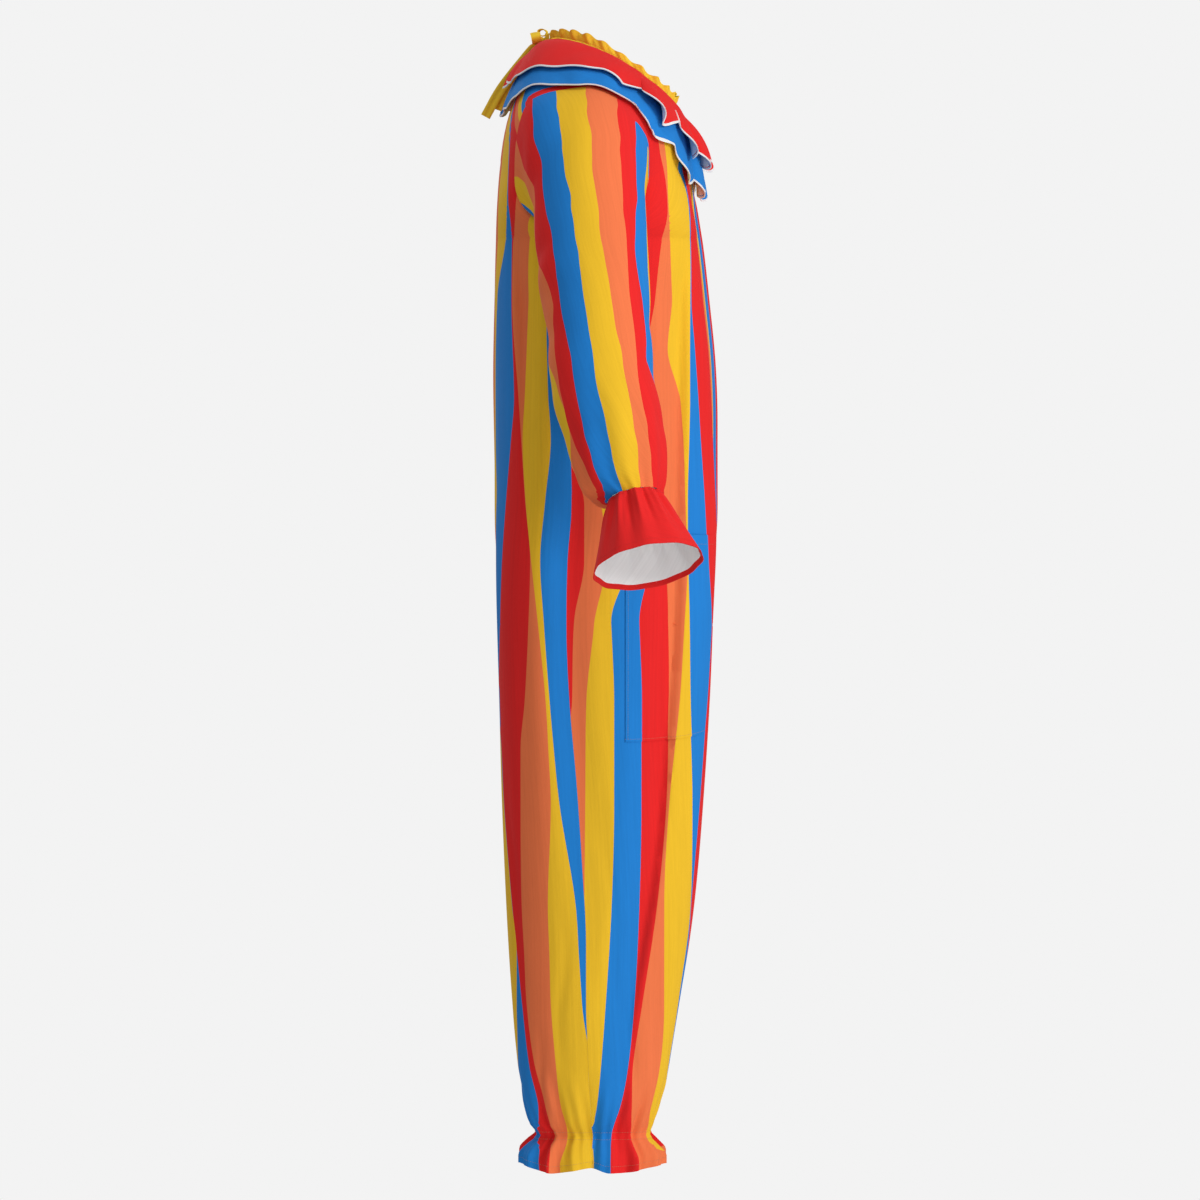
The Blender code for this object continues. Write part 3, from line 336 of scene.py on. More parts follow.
# half width is in X, the inner side of the leg too; all else in Y
outlineAt = curves(
    ("height", "front", "back", "sideSeam", "legSeam", "halfWidth", "legInner"), [
        (-1.4080, -0.0815, 0.1010, 0.0100, 0.0100, 0.1650, 0.0400),
        (-1.3950, -0.0820, 0.1014, 0.0100, 0.0100, 0.1640, 0.0410),
        (-1.3740, -0.0730, 0.0936, 0.0100, 0.0100, 0.1570, 0.0460),
        (-1.3580, -0.0637, 0.0806, 0.0090, 0.0090, 0.1500, 0.0520),
        (-1.3450, -0.0676, 0.0897, 0.0110, 0.0100, 0.1580, 0.0470),
        (-1.3200, -0.0767, 0.0975, 0.0120, 0.0100, 0.1690, 0.0390),
        (-1.2940, -0.0845, 0.1027, 0.0140, 0.0100, 0.1760, 0.0340),
        (-1.2420, -0.0936, 0.1092, 0.0160, 0.0100, 0.1860, 0.0270),
        (-1.1900, -0.1027, 0.1131, 0.0180, 0.0100, 0.1940, 0.0220),
        (-1.1120, -0.1157, 0.1183, 0.0180, 0.0100, 0.2040, 0.0160),
        (-1.0080, -0.1274, 0.1235, 0.0230, 0.0100, 0.2140, 0.0120),
        (-0.9040, -0.1352, 0.1274, 0.0300, 0.0100, 0.2220, 0.0085),
        (-0.8000, -0.1417, 0.1300, 0.0390, 0.0110, 0.2280, 0.0050),
        (-0.7000, -0.1465, 0.1330, 0.0430, 0.0120, 0.2310, 0.0004),
        (-0.6175, -0.1508, 0.1352, 0.0415, 0.0120, 0.2310, 0.0004),
        (-0.5400, -0.1534, 0.1365, 0.0360, 0.0120, 0.2280, 0.0004),
        (-0.4400, -0.1534, 0.1365, 0.0390, 0.0120, 0.2230, 0.0004),
        (-0.3600, -0.1508, 0.1365, 0.0400, 0.0120, 0.2180, 0.0004),
        (-0.2800, -0.1430, 0.1365, 0.0390, 0.0120, 0.2110, 0.0004),
        (-0.2020, -0.1340, 0.1350, 0.0320, 0.0120, 0.2050, 0.0004),
        (-0.1500, -0.1255, 0.1330, 0.0320, 0.0120, 0.2050, 0.0004),
        (-0.1000, -0.1150, 0.1290, 0.0320, 0.0120, 0.2050, 0.0004),
        (-0.0600, -0.1040, 0.1225, 0.0320, 0.0120, 0.2050, 0.0004),
        (-0.0270, -0.0920, 0.1130, 0.0320, 0.0120, 0.2050, 0.0004),
        (0.0000, -0.0820, 0.1010, 0.0320, 0.0120, 0.2050, 0.0004),
        (0.0300, -0.0720, 0.0840, 0.0320, 0.0120, 0.2050, 0.0004),
        (0.0570, -0.0620, 0.0620, 0.0320, 0.0120, 0.2050, 0.0004),
    ])
# from the shoulder seam (0) to the armpit (1): the armhole's point, then the curve's handles
yokeColumns = ("down", "x", "y", "z", "fromX", "fromY", "fromZ", "toX", "toY", "toZ")
yokeAt = {
    "front": curves(yokeColumns, [
        (0.00, 0.192, 0.014, -0.008, 0.040, 0.006, -0.007, -0.037, -0.006, 0.016),
        (0.15, 0.190, -0.006, -0.013, 0.045, 0.002, -0.010, -0.037, -0.012, 0.014),
        (0.30, 0.186, -0.028, -0.026, 0.052, -0.004, -0.012, -0.035, -0.020, 0.009),
        (0.45, 0.181, -0.050, -0.048, 0.085, -0.006, -0.020, -0.028, -0.032, 0.004),
        (0.60, 0.177, -0.063, -0.080, 0.092, -0.002, -0.005, -0.024, -0.034, 0.000),
        (0.75, 0.178, -0.063, -0.118, 0.100, 0.000, 0.000, -0.018, -0.036, 0.000),
        (0.88, 0.187, -0.043, -0.163, 0.110, 0.000, 0.000, -0.008, -0.055, 0.000),
        (1.00, 0.205, 0.032, -0.202, 0.123, 0.000, 0.000, 0.000, -0.100, 0.000),
    ]),
    "back": curves(yokeColumns, [
        (0.00, 0.192, 0.014, -0.008, 0.040, 0.006, -0.007, -0.037, -0.006, 0.016),
        (0.12, 0.191, 0.038, -0.011, 0.046, 0.008, -0.008, -0.037, 0.003, 0.018),
        (0.25, 0.190, 0.070, -0.017, 0.052, 0.013, -0.010, -0.040, 0.005, 0.020),
        (0.38, 0.187, 0.093, -0.030, 0.068, 0.014, -0.008, -0.044, 0.010, 0.016),
        (0.55, 0.181, 0.106, -0.066, 0.085, 0.006, -0.004, -0.040, 0.016, 0.005),
        (0.75, 0.177, 0.110, -0.120, 0.095, 0.002, 0.000, -0.035, 0.016, 0.000),
        (0.90, 0.188, 0.094, -0.168, 0.110, 0.000, 0.000, -0.015, 0.038, 0.000),
        (1.00, 0.205, 0.032, -0.202, 0.123, 0.000, 0.000, 0.000, 0.062, 0.000),
    ]),
}
foldAt = curves(
    ("height", "frontLip", "frontDepth", "pocketEdge", "backLip", "backDepth", "sideHollow"), [
        (-1.3580, -0.0390, 0.0000, -0.0020, 0.0500, 0.000, 0.000),
        (-1.2480, -0.0430, 0.0020, -0.0060, 0.0700, 0.000, 0.000),
        (-1.1630, -0.0560, 0.0080, -0.0180, 0.0790, 0.000, 0.001),
        (-1.0075, -0.0820, 0.0110, -0.0280, 0.0880, 0.000, 0.006),
        (-0.8500, -0.0980, 0.0120, -0.0325, 0.0950, 0.000, 0.010),
        (-0.7000, -0.1090, 0.0120, -0.0325, 0.1000, 0.000, 0.012),
        (-0.5400, -0.1120, 0.0110, -0.0325, 0.1030, 0.002, 0.010),
        (-0.4200, -0.1140, 0.0100, -0.0330, 0.1060, 0.006, 0.004),
        (-0.3000, -0.1155, 0.0080, -0.0340, 0.1105, 0.009, 0.001),
        (-0.2020, -0.1150, 0.0060, -0.0360, 0.1120, 0.006, 0.000),
    ])
ankleAt = curves(("height", "wave"), [
    (-1.408, 0.0072), (-1.395, 0.0066), (-1.374, 0.0052), (-1.358, 0.0034), (-1.345, 0.0044),
    (-1.325, 0.0038), (-1.305, 0.0024), (-1.270, 0.0000)])
# soft troughs (depth above 0) and ridges: top and bottom, distance from the side seam at both,
# half width and depth
creaseTables = {
    "front": [
        (-0.50, -0.97, 0.040, 0.058, 0.012, 0.0012),
        (-0.62, -1.20, 0.092, 0.070, 0.010, 0.0016),
        (-0.88, -1.31, 0.030, 0.044, 0.009, 0.0018),
        (-1.05, -1.34, 0.108, 0.085, 0.008, 0.0022),
        (-0.26, -0.66, 0.215, 0.238, 0.014, -0.0020),
        (-0.40, -0.93, 0.262, 0.256, 0.016, 0.0022),
        (-0.78, -1.28, 0.205, 0.160, 0.012, 0.0020),
        (-1.17, -1.35, 0.064, 0.060, 0.006, 0.0024),
        (-1.20, -1.35, 0.140, 0.128, 0.006, 0.0022),
    ],
    "back": [
        (-0.24, -0.60, 0.030, 0.022, 0.012, 0.0030),
        (-0.52, -1.02, 0.062, 0.070, 0.014, 0.0018),
        (-0.34, -0.88, 0.180, 0.196, 0.016, 0.0026),
        (-0.23, -0.52, 0.250, 0.232, 0.014, -0.0022),
        (-0.80, -1.30, 0.120, 0.092, 0.010, 0.0022),
        (-1.02, -1.33, 0.028, 0.036, 0.008, 0.0020),
        (-0.95, -1.25, 0.210, 0.186, 0.012, 0.0020),
        (-1.20, -1.35, 0.066, 0.062, 0.006, 0.0024),
        (-1.16, -1.35, 0.150, 0.136, 0.007, 0.0022),
    ],
}
hemLift = Curve((-0.084, -0.062, -0.038, -0.012, 0.012, 0.034, 0.062, 0.086, 0.104),
                (0.0120, 0.0080, 0.0030, 0.0020, 0.0085, 0.0050, 0.0015, 0.0070, 0.0130))
dense = np.linspace(0.0, 1.0, 321)
innerShare = 0.4  # of the dense points, on the inner part of a section


def neckline(angle):
    return np.array((
        body["neckHalfWidth"] * math.sin(angle),
        body["neckY"] - body["neckHalfDepth"] * math.cos(angle),
        body["neckZ"] - body["neckTilt"] * math.cos(angle) + body["neckRise"] * math.sin(angle) ** 2,
    ))


def bodySection(part, height):
    # level curve from the middle or inside leg seam to the side seam, on the wearer's left
    edge, seam = outlineAt[part](height), outlineAt["sideSeam"](height)
    wide, inside = outlineAt["halfWidth"](height), outlineAt["legInner"](height)
    passed = np.clip((body["crotchTop"] - height) / (body["crotchTop"] - body["crotch"]), 0, 1)
    legShare = 1 - math.sqrt(1 - passed * passed)
    inner = inside * legShare
    start = edge + (outlineAt["legSeam"](height) - edge) * legShare
    flat = body["torsoFlat"] * wide
    spread = ease((body["legShapeTop"] - height) / (body["legShapeTop"] - body["crotch"]))
    foremost = flat + ((wide + inside) / 2 - flat) * spread
    width, full = foremost - inner, body["fullness"]
    nearer = bezier((
        (inner, start, height),
        (inner + (1 - legShare) * width / 2, start + legShare * full * (edge - start), height),
        (foremost - full * width, edge, height), (foremost, edge, height)), dense / innerShare)
    outer = bezier((
        (foremost, edge, height), (foremost + full * (wide - foremost), edge, height),
        (wide, seam + full * (edge - seam), height), (wide, seam, height)),
        (dense - innerShare) / (1 - innerShare))
    return np.where((dense < innerShare)[:, None], nearer, outer)


def levelOutward(points, part):
    along = np.gradient(points, axis=0)
    return unit(np.cross(along, (0.0, 0.0, 1.0))) * (1 if part == "front" else -1)


def creaseDepth(part, height, seamDistance, side):
    total = np.zeros_like(seamDistance)
    for top, bottom, topPlace, bottomPlace, width, depth in creaseTables[part]:
        down = (top - height) / (top - bottom)
        if 0 < down < 1:
            place = topPlace + (bottomPlace - topPlace) * ease(down)
            wobble = math.sin(body["wobbleByHeight"] * height + body["wobbleByPlace"] * topPlace)
            place += body["creaseWobble"] * wobble
            if side == left:
                place = place * body["leftCreasePlace"] + body["leftCreaseShift"]
                depth *= body["leftCreaseDepth"]
            total += depth * bump(down) * np.exp(-((seamDistance - place) / width) ** 2)
    return total


def foldedSection(part, height, side, gathers=True):
    # the section with its long folds and creases; also its distances before folding and the
    # places of the fold's lip and the pocket's outer edge
    section = bodySection(part, height)
    run = lengths(section)
    total = run[-1]
    reach = np.argmax(np.abs(section[:, 1] - section[-1, 1]))
    fade = ease((body["armpit"] - height) / body["foldStart"])
    share = 1.0 if side == right else body["leftFolds"]
    turn = -1 if part == "back" else 1

    def distanceAt(y):
        return float(np.interp(y * turn, section[reach:, 1] * turn, run[reach:]))

    lip = distanceAt(foldAt[part + "Lip"](height))
    pocketEdge = distanceAt(foldAt["pocketEdge"](height)) if part == "front" else total
    past = run - lip
    groove = ease(past / body["foldDrop"])
    groove = groove * (1 - ease((past - body["foldDrop"]) / body["foldRise"]))
    hollow = np.exp(-((total - run) / body["hollowReach"]) ** 2)
    inward = foldAt[part + "Depth"](height) * fade * groove * share
    inward = inward + foldAt["sideHollow"](height) * hollow * share
    inward = inward + creaseDepth(part, height, total - run, side)
    folded = section - levelOutward(section, part) * inward[:, None]
    if gathers and height < body["gatherFrom"]:
        folded = gathered(folded, part, height, run / total / 2)
    return folded, run, reach, lip, pocketEdge


def gathered(row, part, height, around):
    amount, times, shift = body["gatherDrift"]
    plain, changing, slow = body["gatherEase"]
    turn = 2 * math.pi * body["gathers"] * around
    wave = float(ankleAt["wave"](height)) * np.cos(turn + amount * np.sin(times * turn + shift))
    lift = wave * (plain + changing * np.cos(slow * turn))
    fine = body["fineDepth"] * ease((body["gatherFrom"] - height) / body["gatherFade"])
    fineTurn = 2 * math.pi * body["fineGathers"] * around + body["fineTurn"] * height
    return row + levelOutward(row, part) * (lift + fine * np.cos(fineTurn))[:, None]


def hemmed(row):
    # the hem's own line: lifted at front and back, with dips between
    amount = ease((body["hemFrom"] - row[:, 2]) / (body["hemFrom"] - body["hem"]))
    row = row.copy()
    row[:, 2] += hemLift(row[:, 1]) * amount
    return row


def yokeSection(part, down):
    table = valuesAt(yokeAt[part], down)
    share = body[part + "Neck"]
    if down <= share:
        turn = math.pi / 2 * (1 - down / share)
        start = neckline(turn if part == "front" else math.pi - turn)
    else:
        neck = neckline(0.0 if part == "front" else math.pi)
        height = neck[2] + (body["armpit"] - neck[2]) * (down - share) / (1 - share)
        start = np.array((0.0, float(outlineAt[part](height)), height))
    end = np.array((table["x"], table["y"], table["z"]))
    near = start + (table["fromX"], table["fromY"], table["fromZ"])
    far = end + (table["toX"], table["toY"], table["toZ"])
    section = bezier((start, near, far, end), dense)
    settle = float(ease((down - body["yokeSettle"]) / (1 - body["yokeSettle"])))
    if settle > 0:
        level = bodySection(part, body["armpit"])
        level[:, 2] = section[:, 2] + (level[:, 2] - section[:, 2]) * settle
        run, levelRun = lengths(section), lengths(level)
        level = sampled(run / run[-1], levelRun / levelRun[-1], level)
        level += (section[0] - level[0]) * (1 - dense[:, None])
        level += (section[-1] - level[-1]) * dense[:, None] ** 2
        section = section * (1 - settle) + level * settle
        turn = -1 if part == "front" else 1
        section[:, 1] = turn * np.minimum(section[:, 1] * turn, section[0, 1] * turn)
    return section


def turnedAtCentre(row, side):
    # the front stands a little further out on the wearer's left of the centre seam
    reach = body["centreReach"]
    bell = ease((body["centreFade"] - np.abs(row[:, 0])) / (body["centreFade"] - reach))
    fade = ease((body["centreTop"] - row[:, 2]) / body["centreTopFade"])
    fade = fade * ease((row[:, 2] - body["centreLow"]) / body["centreLowFade"])
    back = body["centreTurn"] * (0.5 - 0.5 * np.clip(row[:, 0] * side / reach, -1, 1))
    row = row.copy()
    row[:, 1] += back * bell * fade
    return row


printValues = {
    "step": 0.010,  # between the levels at which edges are placed
    "flatOutline": 0.0015,  # a section's outline is as far as it stands within this of its edge
    "past": 0.004, "pastGathers": 0.045,  # hidden edges lie this far past the outline
    "pastEach": 0.8,  # of a stripe, for each hidden edge after the first
    "seamReach": 0.012, "seamPast": -0.002,  # an edge this near the side seam hides behind it
    "innerRoom": 0.01,  # least width that is left to the hidden stripes
    "farStripes": 20,  # the print is carried on by this many
    "snapReach": 1.8,  # columns over which one moves onto an edge
}
# at each height, Y of the edges between stripes in millimetres; a dash where they are hidden.
# Edge n is the start of stripe n: blue, red, orange, yellow for n = 0, 1, 2, 3 and so on
frontEdges = """
   height     2      3      4      5      6      7      8      9
    -.085     -      -      -      -  -75.4  -84.0      -      -
    -.110     -      -      -      -  -80.6  -86.2  -98.8 -105.3
    -.143     -      -      -      -  -85.8  -87.4 -111.8 -113.5
    -.165     -      -      -      -  -87.0  -88.6 -114.9 -116.3
    -.202     -      -      -      -  -80.0  -90.0 -116.2 -117.3
    -.240     -      -      -      -  -75.2  -91.4 -116.8 -117.9
    -.280     -      -      -      -  -71.0  -93.0 -116.5 -118.0
    -.345     -      -      -      -      -      - -116.0 -122.5
    -.410     -      -      -      -  -59.0 -103.5 -116.0 -127.0
    -.461     -      -      -      -      - -107.3 -115.0 -130.0
    -.540  20.2    0.0      -      -      - -109.8 -113.0 -135.2
    -.618  20.2      -      -      -      - -111.8 -113.0 -139.0
    -.695  33.2    7.2  -14.3  -50.0  -86.5 -108.5 -114.5 -143.0
    -.800  35.8   17.6  -18.2  -53.3  -87.8 -102.0 -115.7 -137.8
    -.930     -   18.9  -18.2  -53.3  -85.2  -89.0 -119.0 -128.7
   -1.060     -   20.2  -15.0  -50.7  -73.5  -82.6 -117.0 -117.7
   -1.190     -      -   -7.2  -44.2  -54.0  -82.6 -100.8      -
   -1.268     -      -   -1.3  -36.4  -42.3  -77.4      -      -
   -1.320     -      -    3.9  -27.3  -39.7  -65.7      -      -
   -1.358     -      -    9.8  -14.3  -38.4  -56.6      -      -
   -1.395     -      -    7.8  -13.0  -50.0      -      -      -
"""
backEdges = """
   height     1      0     -1     -2     -3     -4
     .000     -      -      -   78.0      -      -
    -.072     -      -      -  103.0  115.7  116.6
    -.150     -      -      -  107.3  118.3  119.4
    -.202     -      -      -  111.6  113.4  121.4
    -.280     -      -   91.7  113.1  114.0  132.6
    -.410     -   66.3   96.9  104.7  110.5      -
    -.461     -   63.1   99.5  101.4  114.4      -
    -.540  36.4   70.2   95.6   96.2  120.9      -
    -.618     -   76.7   88.4   89.7  126.1      -
    -.695     -   72.2   80.0   91.7  128.7      -
    -.800     -   64.4   69.6   96.9  130.7      -
    -.860     -   59.2   66.3  102.1  126.8  127.0
    -.930     -   52.0   63.1  102.1  123.5  123.8
   -1.060     -   31.2   67.0  100.8  113.1  113.4
   -1.125     -   27.0   65.0   97.5  106.6  107.2
   -1.190     -   22.8   63.1   94.3  100.1  107.3
   -1.268     -      -   56.6   83.9   91.0      -
   -1.320     -      -   51.4   69.6   80.6      -
   -1.358     -      -   42.3   60.5   76.7      -
   -1.395     -      -   52.7   62.9   80.6      -
"""


def edgeTable(text):
    # the edges' numbers, the heights, and a grid of Y in metres with None where hidden
    lines = [line.split() for line in text.strip().splitlines()]
    numbers = [int(word) for word in lines[0][1:]]
    rows = [(float(line[0]), [None if word == "-" else float(word) / 1000 for word in line[1:]])
            for line in lines[1:]]
    return numbers, sorted(rows)


def crossing(points, run, first, y):
    # the distance of the last place after first where the row passes y
    offset = points[first:, 1] - y
    changes = np.nonzero(offset[:-1] * offset[1:] <= 0)[0]
    if not len(changes):
        return None
    i = changes[-1]
    share = offset[i] / (offset[i] - offset[i + 1]) if offset[i] != offset[i + 1] else 0.0
    return float(run[first + i] + share * (run[first + i + 1] - run[first + i]))


def shownCurves(numbers, rows):
    # for each edge that shows at two heights or more, its Y by height
    shown = []
    for k in range(len(numbers)):
        known = [(height, ys[k]) for height, ys in rows if ys[k] is not None]
        shown.append(Curve(*zip(*known)) if len(known) > 1 else None)
    return shown


def filledIn(numbers, places, direction):
    # places of hidden edges, spaced as the print is
    known = [(n, place) for n, place in zip(numbers, places) if place is not None]
    filled = []
    for n, place in zip(numbers, places):
        if place is None:
            below = [k for k in known if k[0] < n]
            above = [k for k in known if k[0] > n]
            near = max(below) if below else min(above)
            place = near[1] + direction * cloth["stripe"] * (n - near[0])
            if below and above:
                far = min(above)
                place = near[1] + (far[1] - near[1]) * (n - near[0]) / (far[0] - near[0])
        filled.append(place)
    return filled


def yokeLevel(down):
    return body["armpit"] + (1 - down) * body["yokeDrop"]


def fromSideSeam(part, height, side, gathers=True):
    # a row of a panel and its points' distances from the side seam; above the armpit, height
    # names the row of the yoke that starts at about that height
    if height <= body["armpit"]:
        points, run = foldedSection(part, height, side, gathers)[:2]
        return points, run[-1] - run
    points = yokeSection(part, 1 - (height - body["armpit"]) / body["yokeDrop"])
    distance = armpitWidth[part] - points[0, 0] - lengths(points)
    fade = ease((distance - distance[-1]) / body["yokeEdge"])
    fade = fade * ease((distance[0] - distance) / body["yokeEdge"])
    inward = creaseDepth(part, height, distance, side) * fade
    return points - levelOutward(points, part) * inward[:, None], distance


def panelPrint(part, text, direction):
    # for each edge, a curve of its distance from the side seam by height
    numbers, rows = edgeTable(text)
    heights, shown = zip(*rows)
    turn = -1 if part == "front" else 1

    def placesAt(height, ys):
        points, distance = fromSideSeam(part, height, right, gathers=False)
        reach = int(np.argmax(points[:, 1] * turn))
        plain = (bodySection(part, height) if height <= body["armpit"] else points)[:, 1] * turn
        outline = np.nonzero(plain > plain.max() - printValues["flatOutline"])[0][-1]
        found = [None if y is None else crossing(points, distance, reach, y)
                 or crossing(points, distance, 0, y) for y in ys]
        return found, float(distance[outline])

    places = []
    for height, ys in rows:
        found, outline = placesAt(height, ys)
        filled = filledIn(numbers, found, direction)
        last = max(k for k, y in enumerate(found) if y is not None)
        outline += printValues["pastGathers" if height < body["gatherFrom"] else "past"]
        each = cloth["stripe"] * printValues["pastEach"]
        for k in range(last + 1, len(filled)):  # hidden edges lie past the outline
            filled[k] = max(filled[k], outline + each * (k - last - 1))
        for k, place in enumerate(found):  # or behind the side seam
            if place is None and filled[k] < printValues["seamReach"]:
                filled[k] = min(filled[k], printValues["seamPast"])
        places.append(filled)
    places = [Curve(heights, column) for column in np.array(places).T]
    seen = shownCurves(numbers, rows)
    levels, columns = [], []
    for level in np.arange(heights[0], heights[-1], printValues["step"]):
        i = int(np.searchsorted(heights, level, side="right")) - 1
        both = [shown[i][k] is not None and shown[i + 1][k] is not None for k in range(len(numbers))]
        found = placesAt(level, [float(seen[k](level)) if both[k] else None
                                 for k in range(len(numbers))])[0]
        columns.append([float(places[k](level)) if found[k] is None else found[k]
                        for k in range(len(numbers))])
        levels.append(level)
    return {n: Curve(levels, column) for n, column in zip(numbers, np.array(columns).T)}


def stripeMarks(edges, level, direction, inner=None):
    # distances and numbers of the edges at this level, by rising distance; inner is the distance
    # and the number at the panel's far end
    numbers = sorted(edges)
    at = [float(edges[n](level)) for n in numbers]
    for k in range(1, len(at)):  # edges keep their order
        gap = direction * (at[k] - at[k - 1])
        at[k] = at[k - 1] + direction * max(gap, cloth["hiddenStripe"])
    if direction < 0:
        at, numbers = at[::-1], numbers[::-1]
    if inner and inner[0] > at[-1] + printValues["innerRoom"]:
        at, numbers = [*at, inner[0]], [*numbers, inner[1]]
    far = printValues["farStripes"]
    at = [at[0] - cloth["stripe"] * far, *at, at[-1] + cloth["stripe"] * far]
    return at, [numbers[0] - direction * far, *numbers, numbers[-1] + direction * far]


def striped(even, at, numbers):
    # columns moved onto the edges between stripes, their stripe numbers, and which are on edges
    whole = np.arange(math.ceil(min(numbers)), math.floor(max(numbers)) + 1)
    order = np.argsort(numbers)
    marks = np.sort(np.interp(whole, np.array(numbers)[order], np.array(at)[order]))
    places, onEdge = even.copy(), np.zeros(len(even), dtype=bool)
    reach = printValues["snapReach"] * (even[1] - even[0])
    last = 0
    for mark in marks[(marks > even[0]) & (marks < even[-1])]:
        column = max(int(np.argmin(np.abs(even - mark))), last + 1)
        if column < len(places) - 1 and even[column] - mark < reach:
            places[column], onEdge[column], last = mark, True, column
    return places, np.interp(places, at, numbers), onEdge


printDirection = {"front": 1, "back": -1}  # how the stripe number runs from the right side seam
armpitWidth = {part: foldedSection(part, body["armpit"], right)[1][-1] for part in printDirection}
printEdges = {"front": panelPrint("front", frontEdges, 1), "back": panelPrint("back", backEdges, -1)}
# the number at the middle seam or the inside leg seam, by height
innerNumber = {name: Curve(*zip(*rows)) for name, rows in {
    "front": [(-1.408, 10.4), (-1.20, 11.6), (-0.90, 14.6), (-0.70, 14.9), (-0.693, 14.2),
              (-0.672, 13.5), (-0.63, 12.8), (-0.56, 12.5)],
    "back": [(-1.408, -7.6), (-1.20, -8.4), (-0.90, -9.6), (-0.70, -9.8), (-0.693, -8.9),
             (-0.672, -8.1), (-0.63, -7.4), (-0.56, -7.0)],
}.items()}
leftNumber = {"front": 13, "back": -14}  # the left side's stripe number, plus the right side's
print("print: edges of", sum(len(edges) for edges in printEdges.values()), "stripes placed")


def stripedPlaces(even, part, level, side, whole, fromMiddle=0.0):
    # columns at falling distances from the side seam, moved onto the stripes' edges; whole is
    # the panel's width there, fromMiddle how far from the middle it starts
    direction = printDirection[part]
    inner = (whole, float(innerNumber[part](level)) - direction * fromMiddle / cloth["stripe"])
    marks = stripeMarks(printEdges[part], level, direction, inner)
    fromSeam, number, onEdge = striped(even[::-1], *marks)
    if side == left:
        number = leftNumber[part] - number
    return fromSeam[::-1], number[::-1], onEdge[::-1]


def panelRow(part, side, level):
    # one row of a panel on the wearer's left, its stripe numbers, and the columns on edges
    points, distance = fromSideSeam(part, level, side)
    points = turnedAtCentre(points, side) if part == "front" else points
    even = np.linspace(distance[0], distance[-1], body["columns"])
    fromMiddle = points[0, 0] if level > body["armpit"] else 0.0
    places, number, onEdge = stripedPlaces(even, part, level, side, distance[0], fromMiddle)
    return hemmed(sampled(places, distance[::-1], points[::-1])), number, onEdge


def panelGrid(part, side):
    few, many = body["yokeRows"]
    downs = np.concatenate((np.linspace(0.0, body["yokeClose"], few, endpoint=False),
                            np.linspace(body["yokeClose"], 1.0, many, endpoint=False)))
    count = int(round((body["armpit"] - body["hem"]) / body["rowStep"])) + 1
    levels = [*yokeLevel(downs), *np.linspace(body["armpit"], body["hem"], count)]
    return stacked([panelRow(part, side, level) for level in levels], side)


pocketValues = {
    "top": -0.584, "bottom": -0.850,
    "inner": 0.060,  # from the fold's lip to the pocket's inner edge
    "rise": 0.012,  # of the lower inner corner
    "rows": 56, "columns": 44,
    "layer": 0.0013, "openTop": 0.0026, "openFade": 6,  # a sixth of the way down it lies flat
}


def pocketGrid(side):
    rows = []
    for share in np.linspace(0, 1, pocketValues["rows"]):
        height = pocketValues["top"] + (pocketValues["bottom"] - pocketValues["top"]) * share
        points, run, _, lip, outer = foldedSection("front", height, side)
        points = turnedAtCentre(points, side)
        distance = run[-1] - run
        inner = run[-1] - lip + pocketValues["inner"]
        even = np.linspace(inner, run[-1] - outer, pocketValues["columns"])
        places, number, onEdge = stripedPlaces(even, "front", height, side, distance[0])
        gaping = pocketValues["openTop"] * (1 - ease(share * pocketValues["openFade"]))
        lift = pocketValues["layer"] + gaping * bump(np.linspace(0, 1, len(places)))
        rising = distance[::-1]
        out = sampled(places, rising, levelOutward(points, "front")[::-1])
        row = sampled(places, rising, points[::-1]) + out * lift[:, None]
        across = (places - places[-1]) / (places[0] - places[-1])
        row[:, 2] += pocketValues["rise"] * across ** 2 * share ** 3
        rows.append((row, number, onEdge))
    return stacked(rows, side)


